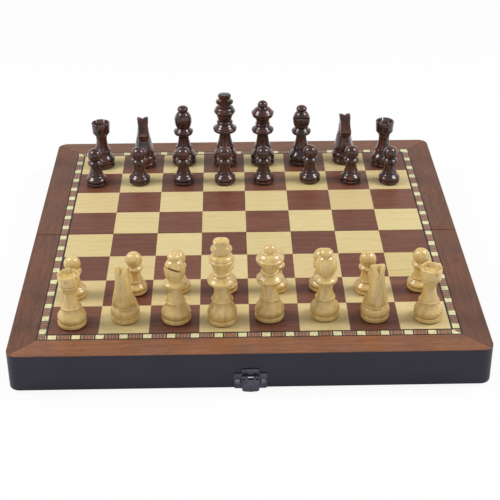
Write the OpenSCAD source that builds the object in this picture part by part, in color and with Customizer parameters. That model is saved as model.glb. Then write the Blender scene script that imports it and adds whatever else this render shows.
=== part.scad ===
// Folding chess box, opened flat with its men set out on the board.
// Two shallow half boxes, hinged rim to rim: +Z up, +X right, the clasp at the front, -Y.
// The origin lies on the table, under the middle of the seam.

/* [Board] */
// Side of one playing square
square_w = 39.6; // [32:0.1:50]
// Width of the veneer band outside the inlay
band_w = 21.5; // [15:0.1:40]
// Width of the mosaic strip of the inlay
mosaic_w = 5.5; // [3:0.1:10]
// Width of the dark line between the squares and the mosaic
inner_line_w = 1.6; // [0.5:0.1:4]
// Width of the dark line between the mosaic and the band
outer_line_w = 0.9; // [0.5:0.1:4]
// Radius of the rounded outer corners
corner_r = 9; // [3:0.5:20]
// Gap between the two halves at the seam
seam_gap = 0.8; // [0.2:0.1:1]
// Glue line between mitred pieces
glue_gap = 0.05; // [0.02:0.01:0.1]

/* [Half boxes] */
// Height of each half, from its rim to the playing surface
half_h = 32.5; // [30:0.5:50]
// Thickness of the walls
wall_t = 8; // [6:0.5:12]
// Thickness of the panel under the veneer
panel_t = 4; // [2.5:0.5:6]
// Thickness of all the veneer
veneer_t = 0.6; // [0.4:0.1:1.5]
// Depth of the flocked insert's face below the rim
insert_drop = 1.5; // [0.5:0.5:4]
// Gap between the insert and the walls
insert_gap = 0.3; // [0.1:0.1:1]
// Thickness of the insert behind its pockets
insert_back = 1.2; // [0.8:0.1:3]
// Room left round a man in its pocket
pocket_room = 1.8; // [1:0.1:4]

/* [Hinges] */
// Length of one hinge
hinge_l = 38; // [30:1:60]
// Distance of each hinge's middle from the middle of the board
hinge_x = 118; // [60:1:140]
// Outer radius of the hinge barrel
barrel_r = 1.6; // [1.4:0.1:2.5]
// Radius of the hinge pin
hinge_pin_r = 0.7; // [0.5:0.05:0.9]
// Radial clearance of the pins in their knuckles
pin_clear = 0.05; // [0.02:0.01:0.1]
// Wood left between a hinge leaf and the inner face of its wall
leaf_margin = 1.05; // [0.5:0.05:2]
// Thickness of one hinge leaf
leaf_t = 0.9; // [0.7:0.1:1.2]
// Gap between neighbouring knuckles
knuckle_gap = 0.2; // [0.1:0.05:0.5]

/* [Clasp] */
// Width of each screwed ear of both plates, beside the lever
ear_w = 6.25; // [5.5:0.05:9]
// Height of the screwed ears of both plates
plate_h = 14; // [10:0.5:16]
// Thickness of both plates
plate_t = 1; // [0.8:0.1:1.5]
// Height of the clasp plate's middle tab
tab_h = 18; // [15:0.5:22]
// Width of the lever
lever_w = 13.5; // [10:0.5:16]
// Thickness of the lever
lever_t = 1.1; // [0.8:0.1:1.5]
// Height of the lever's pin above the rim
pivot_h = 11.8; // [9:0.1:13]
// Radius of the clasp pin
clasp_pin_r = 0.7; // [0.5:0.05:0.9]
// Outer radius of the clasp knuckles
clasp_knuckle_r = 1.5; // [1.3:0.1:1.6]
// Width of the open notch in the middle of the knuckles
notch_w = 4.4; // [3:0.1:6]
// Height of the lever's foot above the table
lever_lift = 0.1; // [0.05:0.05:0.3]
// Gap between the keeper's lip and the lever's hook
lip_gap = 0.1; // [0.05:0.05:0.2]
// Gap between the keeper's lip and the lever's inner face
lip_clear = 0.45; // [0.2:0.05:0.8]

/* [Men] */
// Thickness of the felt under each man
felt_t = 0.8; // [0.5:0.1:2]
// Height of the king
king_h = 73.5; // [60:0.5:90]
// Height of the queen
queen_h = 66.5; // [54:0.5:80]
// Height of the bishops
bishop_h = 61; // [50:0.5:74]
// Height of the knights
knight_h = 49.5; // [40:0.5:60]
// Height of the rooks
rook_h = 46.2; // [38:0.1:60]
// Height of the pawns
pawn_h = 37.2; // [30:0.1:46]
// Foot radius of king, queen and bishop
tall_foot_r = 11.8; // [10:0.1:12.5]
// Foot radius of rook and knight
short_foot_r = 11.6; // [10:0.1:12.5]
// Foot radius of a pawn
pawn_foot_r = 10; // [8.5:0.1:12]

/* [Hidden] */
$fn = 48;
e = 0.01;
cut = 1;

inlay_w = inner_line_w + mosaic_w + outer_line_w;
field = 4 * square_w;
inlay = field + inlay_w;
half_w = inlay + band_w;
rim_z = barrel_r;
top_z = rim_z + half_h;
seam = seam_gap / 2;
wall_top = top_z - veneer_t;
panel_z = wall_top - panel_t;
cavity_x = half_w - wall_t;
cavity_y0 = seam + wall_t;
cavity_y1 = half_w - wall_t;

lacquer = "#37343f";
plywood = "#b99a6b";
band_colour = "#8a5740";
maple = "#e2d29c";
redwood = "#7c4a3c";
inlay_dark = "#3b2420";
inlay_pale = "#c9b184";
flock = "#5a1f25";
blackened = "#2c2b33";
steel = "#8e8f94";
white_wood = "#dcc08c";
black_wood = "#3f211b";
felt = "#2a3a2c";

// Inlay from the squares outwards: the dark lines and the mosaic between them
line_runs = [[field, inner_line_w], [field + inner_line_w + mosaic_w, outer_line_w]];

// Pockets of one half, two rows of eight
pocket_n = 8;
piece_pocket = [2 * (tall_foot_r + pocket_room), king_h + 2 * pocket_room];
pawn_pocket = [2 * (pawn_foot_r + pocket_room), pawn_h + 2 * pocket_room];
pocket_web = (cavity_y1 - cavity_y0 - piece_pocket[1] - pawn_pocket[1]) / 3;
pocket_pitch = 2 * cavity_x / pocket_n;
insert_z0 = rim_z + insert_drop;
pocket_z1 = panel_z - insert_back;

// Hinge
leaf_w = seam + wall_t - leaf_margin;
knuckle_n = 5;
knuckle_l = (hinge_l - (knuckle_n - 1) * knuckle_gap) / knuckle_n;
relief_r = sqrt(pow(barrel_r, 2) + pow(leaf_t, 2)) + 0.25;
leaf_screw_y = (relief_r + leaf_w) / 2;
leaf_screw_x = [-hinge_l / 2 + 5, 0, hinge_l / 2 - 5];
leaf_head_r = 1.8;
leaf_shank_r = 0.9;
leaf_screw_l = 8;
screw_room = 0.05;

// Clasp, laid out on the front wall: out is the distance from the wall
lever_clear = 0.15;
pivot_out = plate_t + clasp_knuckle_r + lever_clear;
pivot_z = rim_z + pivot_h;
lever_in = 0.2;
hook_in = 1;
lip_t = (rim_z - lip_gap - lever_lift) / 2;
lip_out = pivot_out + lever_in - lip_clear;
plate_w = lever_w + 2 * ear_w;
plate_screw_x = (lever_w + ear_w) / 2;
plate_screw_z = plate_h / 2;
plate_head_r = 2.4;
plate_head_t = 1.2;
plate_shank_r = 1.1;
plate_screw_l = wall_t - 2;
cross_w = 0.7;
cross_d = 0.5;

// Files and ranks of the men, with each man's offset from the middle of its square
files = ["a", "b", "c", "d", "e", "f", "g", "h"];
back_rank = ["rook", "knight", "bishop", "king", "queen", "bishop", "knight", "rook"];
white_back = [[-1.7, -4.8], [0.3, 1.8], [1.3, -0.5], [-1.5, -3],
    [-3.5, 1], [1, 2.5], [1.1, -1.3], [3.7, -3]];
white_pawns = [[-4.2, -2.5], [5.7, 2.5], [1.5, 4.5], [1, 3],
    [3, 3.5], [0.9, 4], [-1.5, -1.5], [2.8, 2]];
black_pawns = [[-3.4, -1], [-1.7, 1], [1, 0], [1, -0.5],
    [-1.5, -0.5], [3.5, 0.5], [3.2, -1.5], [0.3, -4]];
black_back = [[-0.3, -1], [1, 0], [0.5, 3], [1.5, 1],
    [-1.2, 0.8], [-3, 1], [0.1, 2.5], [-1.4, -5]];
// Turn of each officer about its own axis, which shows in slits and notches
white_turns = [20, -12, 226, 0, 0, 90, 8, 50];
black_turns = [10, 186, 120, 0, 0, 268, 184, 40];

// A man: its name, kind, file, rank, offset and turn
function row(side, rank, kinds, offsets, turns) = [for (i = [0:7])
    [str(side, "_", kinds[i], "_", files[i], rank), kinds[i], i, rank - 1, offsets[i], turns[i]]];
pawn_kinds = [for (i = [0:7]) "pawn"];
no_turns = [for (i = [0:7]) 0];
men = concat(
    row("white", 1, back_rank, white_back, white_turns),
    row("white", 2, pawn_kinds, white_pawns, no_turns),
    row("black", 7, pawn_kinds, black_pawns, no_turns),
    row("black", 8, back_rank, black_back, black_turns));

// Points of an arc about (x, y), from angle a to angle b
function arc(x, y, r, a, b, n) =
    [for (i = [0:n]) let (t = a + (b - a) * i / n) [x + r * cos(t), y + r * sin(t)]];

// Moves its children to the front half, as the mirror image of the rear one
module front() { mirror([0, 1, 0]) children(); }

// Upright box between two corners
module span(low, high) { translate(low) cube(high - low); }

// Bar along X between two ends, about an axis at (y, z)
module bar(x0, x1, y, z, r) { translate([x0, y, z]) rotate([0, 90, 0]) cylinder(h = x1 - x0, r = r); }

// Outline of one side of a frame round the half, from u outwards to v. Its mitred ends stop
// half a glue line short of the diagonal, and its outer corners are rounded
function mitre_turn(r) = asin(glue_gap / 2 / r);
function long_corner(v, r) = r > 0
    ? arc(v - r, v - r, r, 45 + mitre_turn(r), 90, 4)
    : [[v - glue_gap / 2, v]];
function short_corner(v, r) = r > 0
    ? arc(v - r, v - r, r, 0, 45 - mitre_turn(r), 4)
    : [[v, v - glue_gap / 2]];
function other_end(points) = [for (i = [len(points) - 1:-1:0]) [-points[i][0], points[i][1]]];
function long_side(u, v, r) =
    concat([[glue_gap / 2 - u, u], [u - glue_gap / 2, u]], long_corner(v, r), other_end(long_corner(v, r)));
function short_side(u, v, r) = concat([[u, seam], [v, seam]], short_corner(v, r), [[u, u - glue_gap / 2]]);

// Three mitred strips round the rear half, open at the seam
module strips(u, v, z, h, r = 0) {
    translate([0, 0, z]) linear_extrude(h) polygon(long_side(u, v, r));
    translate([0, 0, z]) linear_extrude(h) polygon(short_side(u, v, r));
    translate([0, 0, z]) mirror([1, 0, 0]) linear_extrude(h) polygon(short_side(u, v, r));
}

// Screw with a flat countersunk head, its head down at z = 0
module flat_screw(room = 0) {
    cylinder(h = leaf_t, r1 = leaf_head_r + room, r2 = leaf_shank_r + room);
    cylinder(h = leaf_screw_l + room, r = leaf_shank_r + room);
}

// Places of the hinge screws in one half
module at_hinge_screws() {
    for (side = [-1, 1], x = leaf_screw_x) translate([side * hinge_x + x, leaf_screw_y, rim_z]) children();
}

// Places of the two plate screws on the outer wall, with +Z pointing out of the wall
module at_plate_screws() {
    for (side = [-1, 1]) translate([side * plate_screw_x, half_w, rim_z + plate_screw_z])
        rotate([-90, 0, 0]) children();
}

// Walls of one half: outer wall, two sides and the seam wall
module walls() {
    difference() {
        strips(cavity_x, half_w, rim_z, wall_top - rim_z, corner_r);
        at_plate_screws() translate([0, 0, -plate_screw_l - screw_room])
            cylinder(h = plate_screw_l + screw_room + e, r = plate_shank_r + screw_room);
    }
    difference() {
        span([glue_gap - cavity_x, seam, rim_z], [cavity_x - glue_gap, cavity_y0, wall_top]);
        for (side = [-1, 1]) {
            x = side * hinge_x;
            bar(x - hinge_l / 2 - knuckle_gap, x + hinge_l / 2 + knuckle_gap, 0, rim_z, relief_r);
            span([x - hinge_l / 2, -cut, rim_z - cut], [x + hinge_l / 2, leaf_w, rim_z + leaf_t]);
        }
        at_hinge_screws() cylinder(h = leaf_screw_l + screw_room, r = leaf_shank_r + screw_room);
    }
}

// Panel under the veneer, let in between the walls
module panel() { span([-cavity_x, cavity_y0, panel_z], [cavity_x, cavity_y1, wall_top]); }

// Veneer band round the inlay, mitred at the corners
module border() { strips(inlay, half_w, wall_top, veneer_t, corner_r); }

// Half of the squares of one half, those of one colour
module squares(parity) {
    for (i = [0:7], j = [0:3]) if ((i + j) % 2 == parity)
        span([(i - 4) * square_w, max(j * square_w, seam), wall_top],
             [(i - 3) * square_w, (j + 1) * square_w, top_z]);
}

// Mosaic strip between the two dark lines
module mosaic() { strips(field + inner_line_w, field + inner_line_w + mosaic_w, wall_top, veneer_t); }

// Dark lines on both sides of the mosaic
module lines() { for (run = line_runs) strips(run[0], run[0] + run[1], wall_top, veneer_t); }

// Centre, along y, of the row of officers' pockets and of the row of pawns' pockets
piece_y = cavity_y0 + pocket_web + piece_pocket[1] / 2;
pawn_y = cavity_y1 - pocket_web - pawn_pocket[1] / 2;

// Flocked insert with a pocket for each man
module insert() {
    difference() {
        span([insert_gap - cavity_x, cavity_y0 + insert_gap, insert_z0],
             [cavity_x - insert_gap, cavity_y1 - insert_gap, panel_z]);
        for (i = [0:pocket_n - 1], row = [[piece_y, piece_pocket], [pawn_y, pawn_pocket]]) {
            x = (i + 0.5) * pocket_pitch - cavity_x;
            half = row[1] / 2;
            span([x - half[0], row[0] - half[1], insert_z0 - cut],
                 [x + half[0], row[0] + half[1], pocket_z1]);
        }
    }
}

// One hinge leaf at x = 0 with the knuckles of one parity
module leaf(parity) {
    difference() {
        union() {
            span([-hinge_l / 2, 0, rim_z], [hinge_l / 2, leaf_w, rim_z + leaf_t]);
            for (k = [0:knuckle_n - 1]) if (k % 2 == parity) {
                x = -hinge_l / 2 + k * (knuckle_l + knuckle_gap);
                bar(x, x + knuckle_l, 0, rim_z, barrel_r);
            }
        }
        for (k = [0:knuckle_n - 1]) if (k % 2 != parity) {
            x = -hinge_l / 2 + k * (knuckle_l + knuckle_gap);
            bar(x - knuckle_gap, x + knuckle_l + knuckle_gap, 0, rim_z, relief_r);
        }
        bar(-hinge_l, hinge_l, 0, rim_z, hinge_pin_r + pin_clear);
        for (x = leaf_screw_x) translate([x, leaf_screw_y, rim_z - e]) {
            cylinder(h = leaf_t + 2 * e, r1 = leaf_head_r + screw_room, r2 = leaf_shank_r + screw_room);
        }
    }
}

module leaves(parity) { for (side = [-1, 1]) translate([side * hinge_x, 0, 0]) leaf(parity); }

module leaf_screws() { at_hinge_screws() flat_screw(); }

// Ears of a plate on the outer wall, with its two screw holes
module plate(h_mid) {
    difference() {
        union() {
            span([-plate_w / 2, half_w, rim_z], [plate_w / 2, half_w + plate_t, rim_z + plate_h]);
            span([-lever_w / 2, half_w, rim_z], [lever_w / 2, half_w + plate_t, rim_z + h_mid]);
            children();
        }
        at_plate_screws() translate([0, 0, -cut])
            cylinder(h = plate_t + 2 * cut, r = plate_shank_r + screw_room);
    }
}

// Round-headed screw with a cross recess, its head standing on z = 0
module round_screw() {
    difference() {
        intersection() {
            cylinder(h = plate_head_t, r = plate_head_r);
            translate([0, 0, plate_head_t - 2 * plate_head_r]) sphere(r = 2 * plate_head_r);
        }
        for (a = [0, 90]) rotate([0, 0, a])
            translate([-plate_head_r * 0.6, -cross_w / 2, plate_head_t - cross_d])
                cube([plate_head_r * 1.2, cross_w, cut]);
    }
    translate([0, 0, -plate_t - plate_screw_l]) cylinder(h = plate_t + plate_screw_l, r = plate_shank_r);
}

module plate_screws() { at_plate_screws() translate([0, 0, plate_t]) round_screw(); }

// Knuckles of the clasp: the plate's at both ends, the lever's inside them
module clasp_knuckles(ends) {
    for (side = [0, 1]) mirror([side, 0, 0])
        bar(ends[0], ends[1], half_w + pivot_out, pivot_z, clasp_knuckle_r);
}
lever_knuckle = [notch_w / 2, lever_w / 2 - 2.1 - knuckle_gap];
plate_knuckle = [lever_w / 2 - 2.1, lever_w / 2];

// Webs that carry the plate's knuckles
module knuckle_webs() {
    for (side = [0, 1]) mirror([side, 0, 0])
        span([plate_knuckle[0], half_w, pivot_z - clasp_knuckle_r],
             [plate_knuckle[1], half_w + pivot_out, pivot_z + clasp_knuckle_r]);
}

module clasp_bore() {
    bar(-lever_w, lever_w, half_w + pivot_out, pivot_z, clasp_pin_r + pin_clear);
}

// Lever, hanging straight down, with a hook turned in at its foot
module lever() {
    out = half_w + pivot_out + lever_in;
    foot_z = rim_z - lip_gap - 2 * lip_t;
    shoulder_z = pivot_z - clasp_knuckle_r - knuckle_gap;
    difference() {
        union() {
            clasp_knuckles(lever_knuckle);
            span([-lever_w / 2, out, foot_z], [lever_w / 2, out + lever_t, shoulder_z]);
            for (side = [0, 1]) mirror([side, 0, 0])
                span([lever_knuckle[0], out, foot_z], [lever_knuckle[1], out + lever_t, pivot_z]);
            span([-lever_w / 2, half_w + lip_out - hook_in, foot_z],
                 [lever_w / 2, out + lever_t, foot_z + lip_t]);
        }
        clasp_bore();
    }
}

// Rounded bead of a turned outline: its widest radius r at height z, t thick
function bead(r, z, t) = arc(r - t / 2, z, t / 2, -90, 90, 4);

// Hollow curve of a turned outline, from (r0, z0) to (r1, z1), steep at its upper end
function flare(r0, z0, r1, z1, n = 5) =
    [for (i = [1:n]) let (s = i / n) [r1 + (r0 - r1) * pow(1 - s, 2), z0 + (z1 - z0) * s]];

// Domed curve of a turned outline, from (r0, z0) to (r1, z1), steep at its lower end
function dome(r0, z0, r1, z1, n = 5) =
    [for (i = [0:n]) let (t = 90 * i / n) [r1 + (r0 - r1) * cos(t), z0 + (z1 - z0) * sin(t)]];

// Egg of a turned outline about height z: r wide, c high, from angle a up to its top or angle b
function egg(r, z, c, a, b = 90, n = 7) =
    [for (i = [0:n]) let (t = a + (b - a) * i / n) [r * cos(t), z + c * sin(t)]];

// Collar of a turned outline: swells from (r0, z0) to its edge, r wide at height z and t thick,
// and slopes back to (r1, z1)
function collar(r0, z0, r, z, r1, z1, t = 2.6, n = 4) = concat(
    [for (i = [0:n]) let (a = 90 * i / n, low = z - t / 2)
        [r0 + (r - 0.15 * t - r0) * sin(a), low - (low - z0) * cos(a)]],
    arc(r - t / 2, z, t / 2, -30, 60, 3), [[r1, z1]]);

// Turned foot: ring, groove, bell and ridge. The bell swells low down and then hollows out
function bell(r, z, tall, drop) = [[r - 0.15, z + 0.12 * tall], [r, z + 0.24 * tall],
    [r - 0.3, z + 0.38 * tall], [r - 0.3 * drop, z + 0.52 * tall], [r - 0.6 * drop, z + 0.65 * tall],
    [r - 0.86 * drop, z + 0.78 * tall], [r - drop, z + 0.92 * tall]];
function foot(r, groove_z, ridge_z, ridge_r) = concat(
    [[0, felt_t], [r - 0.5, felt_t], [r, felt_t + 0.5], [r, groove_z - 0.9], [r - 0.9, groove_z]],
    bell(r, groove_z, ridge_z - groove_z, r - ridge_r + 0.7), bead(ridge_r, ridge_z, 1.6));

module turned(points) { rotate_extrude() polygon(points); }

// Width of the saw cuts in rooks
saw_w = 1.2;

module pawn() {
    turned(concat(foot(pawn_foot_r, 4, 11.4, 6.8),
        flare(6, 12.3, 4.9, pawn_h - 16.9),
        collar(5.1, pawn_h - 16.7, 7.3, pawn_h - 14, 5.3, pawn_h - 11.9, 2.2),
        egg(6.85, pawn_h - 6.85, 6.85, -43)));
}

// The rook's well, with saw cuts through its wall that end just above its floor
well_d = 3.6;
module rook(turn) {
    difference() {
        turned(concat(foot(short_foot_r, 4.8, 17, 8.3),
            flare(7.5, 18, 5.1, rook_h - 16.6),
            [[5.2, rook_h - 15.2], [5.8, rook_h - 13.4], [6.9, rook_h - 11.7], [8.3, rook_h - 9.9],
            [8.3, rook_h - 9.3], [7.8, rook_h - 8.7], [8.4, rook_h - 8.2], [8.75, rook_h], [7.1, rook_h],
            [6.4, rook_h - well_d], [0, rook_h - well_d - 0.6]]));
        for (a = [0:60:120]) rotate([0, 0, a + turn])
            span([-short_foot_r, -saw_w / 2, rook_h - well_d + 0.2],
                 [short_foot_r, saw_w / 2, rook_h + cut]);
    }
}

// Carved head on a turned foot. The head is cut from flat planes: its side outline, and its front
// outline, which narrows towards the ears. Heights run from 0 at its foot to 1 at the ears
carve_z = 14.5;
carve_r = 10.2;
foot_k = short_foot_r / 11.6;
knight_foot = [[11, felt_t], [11.3, felt_t + 0.5], [11.3, 4.4], [10.9, 5], [11.4, 5.8], [11.6, 8.2],
    [11.2, 10.8], [10.3, 12.4], [9.7, 13], [10.2, 13.6], [10.2, carve_z]];
knight_side = [[-8.6, -0.01], [8.6, -0.01], [7, 0.2], [4, 0.36], [4.8, 0.46], [8.2, 0.43], [9.6, 0.52],
    [8.4, 0.64], [3.6, 0.81], [1.4, 0.87], [-0.6, 1], [-4.6, 0.97], [-7, 0.77], [-8.2, 0.43]];
knight_front = [[9.2, -0.01], [6.7, 0.32], [4.9, 0.59], [4.7, 0.84], [5.5, 1.01]];
// The ears part in a notch that is deep at the back of the head and runs out at its brow
ear_notch = [[0, 0], [8, 12.2], [-8, 12.2]];
notch_z = 0.82;
notch_slope = 43.5;
function carved(points) = [for (p = points) [p[0] * foot_k, carve_z + p[1] * (knight_h - carve_z)]];
module knight(turn) {
    turned(concat([[0, felt_t]], [for (p = knight_foot) [p[0] * foot_k, p[1]]], [[0, carve_z]]));
    front_line = carved(knight_front);
    rotate([0, 0, turn]) difference() {
        intersection() {
            rotate([90, 0, 90]) linear_extrude(4 * carve_r, center = true) polygon(carved(knight_side));
            rotate([90, 0, 0]) linear_extrude(4 * carve_r, center = true)
                polygon(concat(front_line, other_end(front_line)));
            translate([0, 0, carve_z - 0.35])
                cylinder(h = knight_h, r1 = (carve_r - 0.4) * foot_k, r2 = 6.5 * foot_k);
        }
        translate([0, -6.5 * foot_k, carved([[0, notch_z]])[0][1]]) rotate([notch_slope + 90, 0, 0])
            linear_extrude(4 * carve_r, center = true) polygon(ear_notch);
    }
}

// The mitre is sawn in from one side, down to a small hole drilled across it
mitre_x = 2;
mitre_hole_r = 1.1;
mitre_tilt = 29;
mitre_w = 1.5;
module bishop(turn) {
    difference() {
        turned(concat(foot(tall_foot_r, 5, 17.8, 8.1),
            flare(7.3, 18.8, 4.9, bishop_h - 30.2),
            collar(5.2, bishop_h - 30, 9.5, bishop_h - 26.6, 6.2, bishop_h - 23.1, 2.4),
            egg(8.4, bishop_h - 15.2, 10.8, -45, 51), [[4.2, bishop_h - 6.1]],
            egg(5.3, bishop_h - 3.4, 3.4, -40)));
        rotate([0, 0, turn]) translate([mitre_x, 0, bishop_h - 13.2]) {
            rotate([0, -mitre_tilt, 0])
                span([0, -tall_foot_r, -mitre_w / 2], [tall_foot_r, tall_foot_r, mitre_w / 2]);
            translate([0, 0, 0.6]) rotate([90, 0, 0])
                cylinder(h = 2 * tall_foot_r, r = mitre_hole_r, center = true);
        }
    }
}

module queen() {
    turned(concat(foot(tall_foot_r, 5, 19, 8.3),
        flare(7.5, 20, 5.4, queen_h - 33.3),
        collar(5.7, queen_h - 33.1, 10.8, queen_h - 30, 9.6, queen_h - 28.7, 2.2),
        [[9.4, queen_h - 28.3], [8.3, queen_h - 27.4], [7.1, queen_h - 26.3], [6.6, queen_h - 25.5]],
        bead(7.2, queen_h - 23.9, 2.4), [[6.2, queen_h - 22.4], [6.4, queen_h - 20.8], [6.9, queen_h - 18]],
        collar(7.4, queen_h - 16.9, 10.9, queen_h - 12.2, 10, queen_h - 11.2, 1.4),
        [[8.6, queen_h - 9.4], [6.8, queen_h - 7.8], [4.9, queen_h - 6.9], [4.4, queen_h - 6.2]],
        egg(5, queen_h - 4.3, 4.3, -28)));
}

// The finial is turned, then sawn flat at front and back
finial_t = 8.8;
module king() {
    difference() {
        turned(concat(foot(tall_foot_r, 5, 20.6, 8.7),
            flare(7.9, 21.6, 5.3, king_h - 38.8),
            collar(5.6, king_h - 38.6, 11.6, king_h - 35.5, 7.6, king_h - 31, 2.8), [[6.8, king_h - 30.5]],
            bead(7.85, king_h - 28.7, 2.6), [[6.5, king_h - 26.9], [6.6, king_h - 25.8],
            [7, king_h - 24.4], [7.5, king_h - 22.5], [8.4, king_h - 20.5], [9.4, king_h - 18.8]],
            bead(10.35, king_h - 17.2, 2.6), dome(9.4, king_h - 15.7, 5.3, king_h - 12.2),
            [[5.1, king_h - 11.3], [6, king_h - 9.8]], bead(8.5, king_h - 7.6, 2.8),
            [[6.1, king_h - 5.7], [5.2, king_h - 4.5], [5.6, king_h - 3.5], [6.3, king_h - 2.7],
            [6.4, king_h - 1.3], [5.8, king_h - 0.3], [4.6, king_h], [0, king_h]]));
        for (side = [0, 1]) mirror([0, side, 0])
            span([-tall_foot_r, finial_t / 2, king_h - 12.2], [tall_foot_r, tall_foot_r, king_h + cut]);
    }
}

// A man by its kind, on its felt
module man(m) {
    kind = m[1];
    turn = m[5];
    felt_r = (kind == "pawn" ? pawn_foot_r : short_foot_r) - 1;
    translate([(m[2] - 3.5) * square_w + m[4][0], (m[3] - 3.5) * square_w + m[4][1], top_z]) {
        color(felt) cylinder(h = felt_t - glue_gap, r = felt_r);
        color(m[3] < 4 ? white_wood : black_wood) {
            if (kind == "pawn") pawn();
            if (kind == "rook") rook(turn);
            if (kind == "knight") knight(turn);
            if (kind == "bishop") bishop(turn);
            if (kind == "queen") queen();
            if (kind == "king") king();
        }
    }
}

module base_walls() { color(lacquer) walls(); }
module base_panel() { color(plywood) panel(); }
module base_border() { color(band_colour) border(); }
module base_light_squares() { color(maple) squares(1); }
module base_dark_squares() { color(redwood) squares(0); }
module base_mosaic() { color(inlay_pale) mosaic(); }
module base_lines() { color(inlay_dark) lines(); }
module base_insert() { color(flock) insert(); }
module hinge_leaves_base() { color(blackened) leaves(0); }
module hinge_pins() {
    color(steel) for (side = [-1, 1])
        bar(side * hinge_x - hinge_l / 2, side * hinge_x + hinge_l / 2, 0, rim_z, hinge_pin_r);
}
module hinge_screws_base() { color(steel) leaf_screws(); }
module keeper_plate() {
    color(blackened) plate(plate_h)
        span([-lever_w / 2 + 0.5, half_w, rim_z], [lever_w / 2 - 0.5, half_w + lip_out, rim_z + lip_t]);
}
module keeper_screws() { color(blackened) plate_screws(); }

module lid_walls() { color(lacquer) front() walls(); }
module lid_panel() { color(plywood) front() panel(); }
module lid_border() { color(band_colour) front() border(); }
module lid_light_squares() { color(maple) front() squares(0); }
module lid_dark_squares() { color(redwood) front() squares(1); }
module lid_mosaic() { color(inlay_pale) front() mosaic(); }
module lid_lines() { color(inlay_dark) front() lines(); }
module lid_insert() { color(flock) front() insert(); }
module hinge_leaves_lid() { color(blackened) front() leaves(1); }
module hinge_screws_lid() { color(steel) front() leaf_screws(); }
module clasp_plate() {
    color(blackened) front() difference() {
        plate(tab_h) {
            clasp_knuckles(plate_knuckle);
            knuckle_webs();
        }
        clasp_bore();
    }
}
module clasp_pin() {
    color(steel) front() bar(-lever_w / 2, lever_w / 2, half_w + pivot_out, pivot_z, clasp_pin_r);
}
module clasp_screws() { color(blackened) front() plate_screws(); }
module clasp_lever() { color(blackened) front() lever(); }

base_walls();
base_panel();
base_border();
base_light_squares();
base_dark_squares();
base_mosaic();
base_lines();
base_insert();
hinge_leaves_base();
hinge_pins();
hinge_screws_base();
keeper_plate();
keeper_screws();
lid_walls();
lid_panel();
lid_border();
lid_light_squares();
lid_dark_squares();
lid_mosaic();
lid_lines();
lid_insert();
hinge_leaves_lid();
hinge_screws_lid();
clasp_plate();
clasp_pin();
clasp_screws();
clasp_lever();
for (m = men) man(m);
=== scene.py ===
# %% [markdown]
# # A folding chess box, opened flat with its men set out
# The object is a wooden box of two shallow halves. Hinged rim to rim, they fold shut round the men,
# and opened flat, with the rims down, their outsides make the chessboard. This lesson dresses the
# imported model of it: every turned man, sawn strip and pressed plate gets a smooth mesh and a finish.
#
# The imported model comes first, because everything else is placed by it. It is in metres, with the
# origin on the table under the middle of the seam. Its box is kept.

# %% Load the imported model
import math

import bmesh
import bpy
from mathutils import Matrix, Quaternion, Vector


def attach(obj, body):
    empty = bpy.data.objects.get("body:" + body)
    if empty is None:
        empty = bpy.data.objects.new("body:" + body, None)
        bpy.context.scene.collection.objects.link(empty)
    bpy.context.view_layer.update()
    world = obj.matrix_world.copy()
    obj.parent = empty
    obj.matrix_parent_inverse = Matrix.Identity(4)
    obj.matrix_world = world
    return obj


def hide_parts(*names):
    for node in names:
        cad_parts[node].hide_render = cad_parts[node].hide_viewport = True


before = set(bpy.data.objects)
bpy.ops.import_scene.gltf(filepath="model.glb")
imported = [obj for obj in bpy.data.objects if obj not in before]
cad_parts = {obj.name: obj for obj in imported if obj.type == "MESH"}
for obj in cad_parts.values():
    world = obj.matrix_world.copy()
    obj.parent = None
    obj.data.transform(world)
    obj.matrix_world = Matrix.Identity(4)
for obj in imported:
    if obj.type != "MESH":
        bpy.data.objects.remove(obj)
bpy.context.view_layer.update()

# %% [markdown]
# ## Sizes
# All sizes below are millimetres, the ones the box is made to: a board of 376 mm, with squares of
# 39.6 mm inside a thin inlay and a broad band. Each half starts 0.4 mm from the middle of the seam,
# and its rim stands 1.6 mm above the table, because the barrels of the hinges reach that far below
# it. The mesh helper turns millimetres to metres in one place.

# %% Sizes of the box, in millimetres
MM = 0.001
square = 39.6
inner_line, mosaic_w, outer_line = 1.6, 5.5, 0.9
inlay = 4 * square + inner_line + mosaic_w + outer_line
band_w = 21.5
half_w = inlay + band_w
corner_r = 9.0
seam = 0.4
rim, half_h = 1.6, 32.5
wall_t, panel_t, veneer_t = 8.0, 4.0, 0.6
top = rim + half_h
wall_top = top - veneer_t
print("board:", 2 * half_w, "mm, playing surface at", top, "mm")

# %% [markdown]
# ## Colours and nodes
# Blender shades with linear light, while a colour picker gives sRGB, so one function turns hex codes
# into linear values. Materials are built from nodes, and one small function adds any node with its
# settings and its inputs. An input that is itself a node gets linked, and a number is set. The
# scale of a noise is how often its pattern repeats in a metre, so it is worked out from its size.

# %% Helpers for colours and nodes
def linear(code):
    parts = [int(code[i : i + 2], 16) / 255 for i in (1, 3, 5)]
    return [c / 12.92 if c <= 0.04045 else ((c + 0.055) / 1.055) ** 2.4 for c in parts] + [1.0]


def add(tree, kind, inputs=None, stops=(), **settings):
    made = tree.nodes.new("ShaderNode" + kind)
    for name, value in settings.items():
        setattr(made, name, value)
    for i, (place, code) in enumerate(stops):
        ramp = made.color_ramp.elements
        stop = ramp[i] if i < 2 else ramp.new(place)
        stop.position, stop.color = place, linear(code)
    for name, value in (inputs or {}).items():
        if isinstance(value, bpy.types.Node):
            value = value.outputs[0]
        if isinstance(value, bpy.types.NodeSocket):
            tree.links.new(value, made.inputs[name])
        else:
            made.inputs[name].default_value = value
    return made


def repeats(size_mm):
    return 1000 / size_mm


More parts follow.
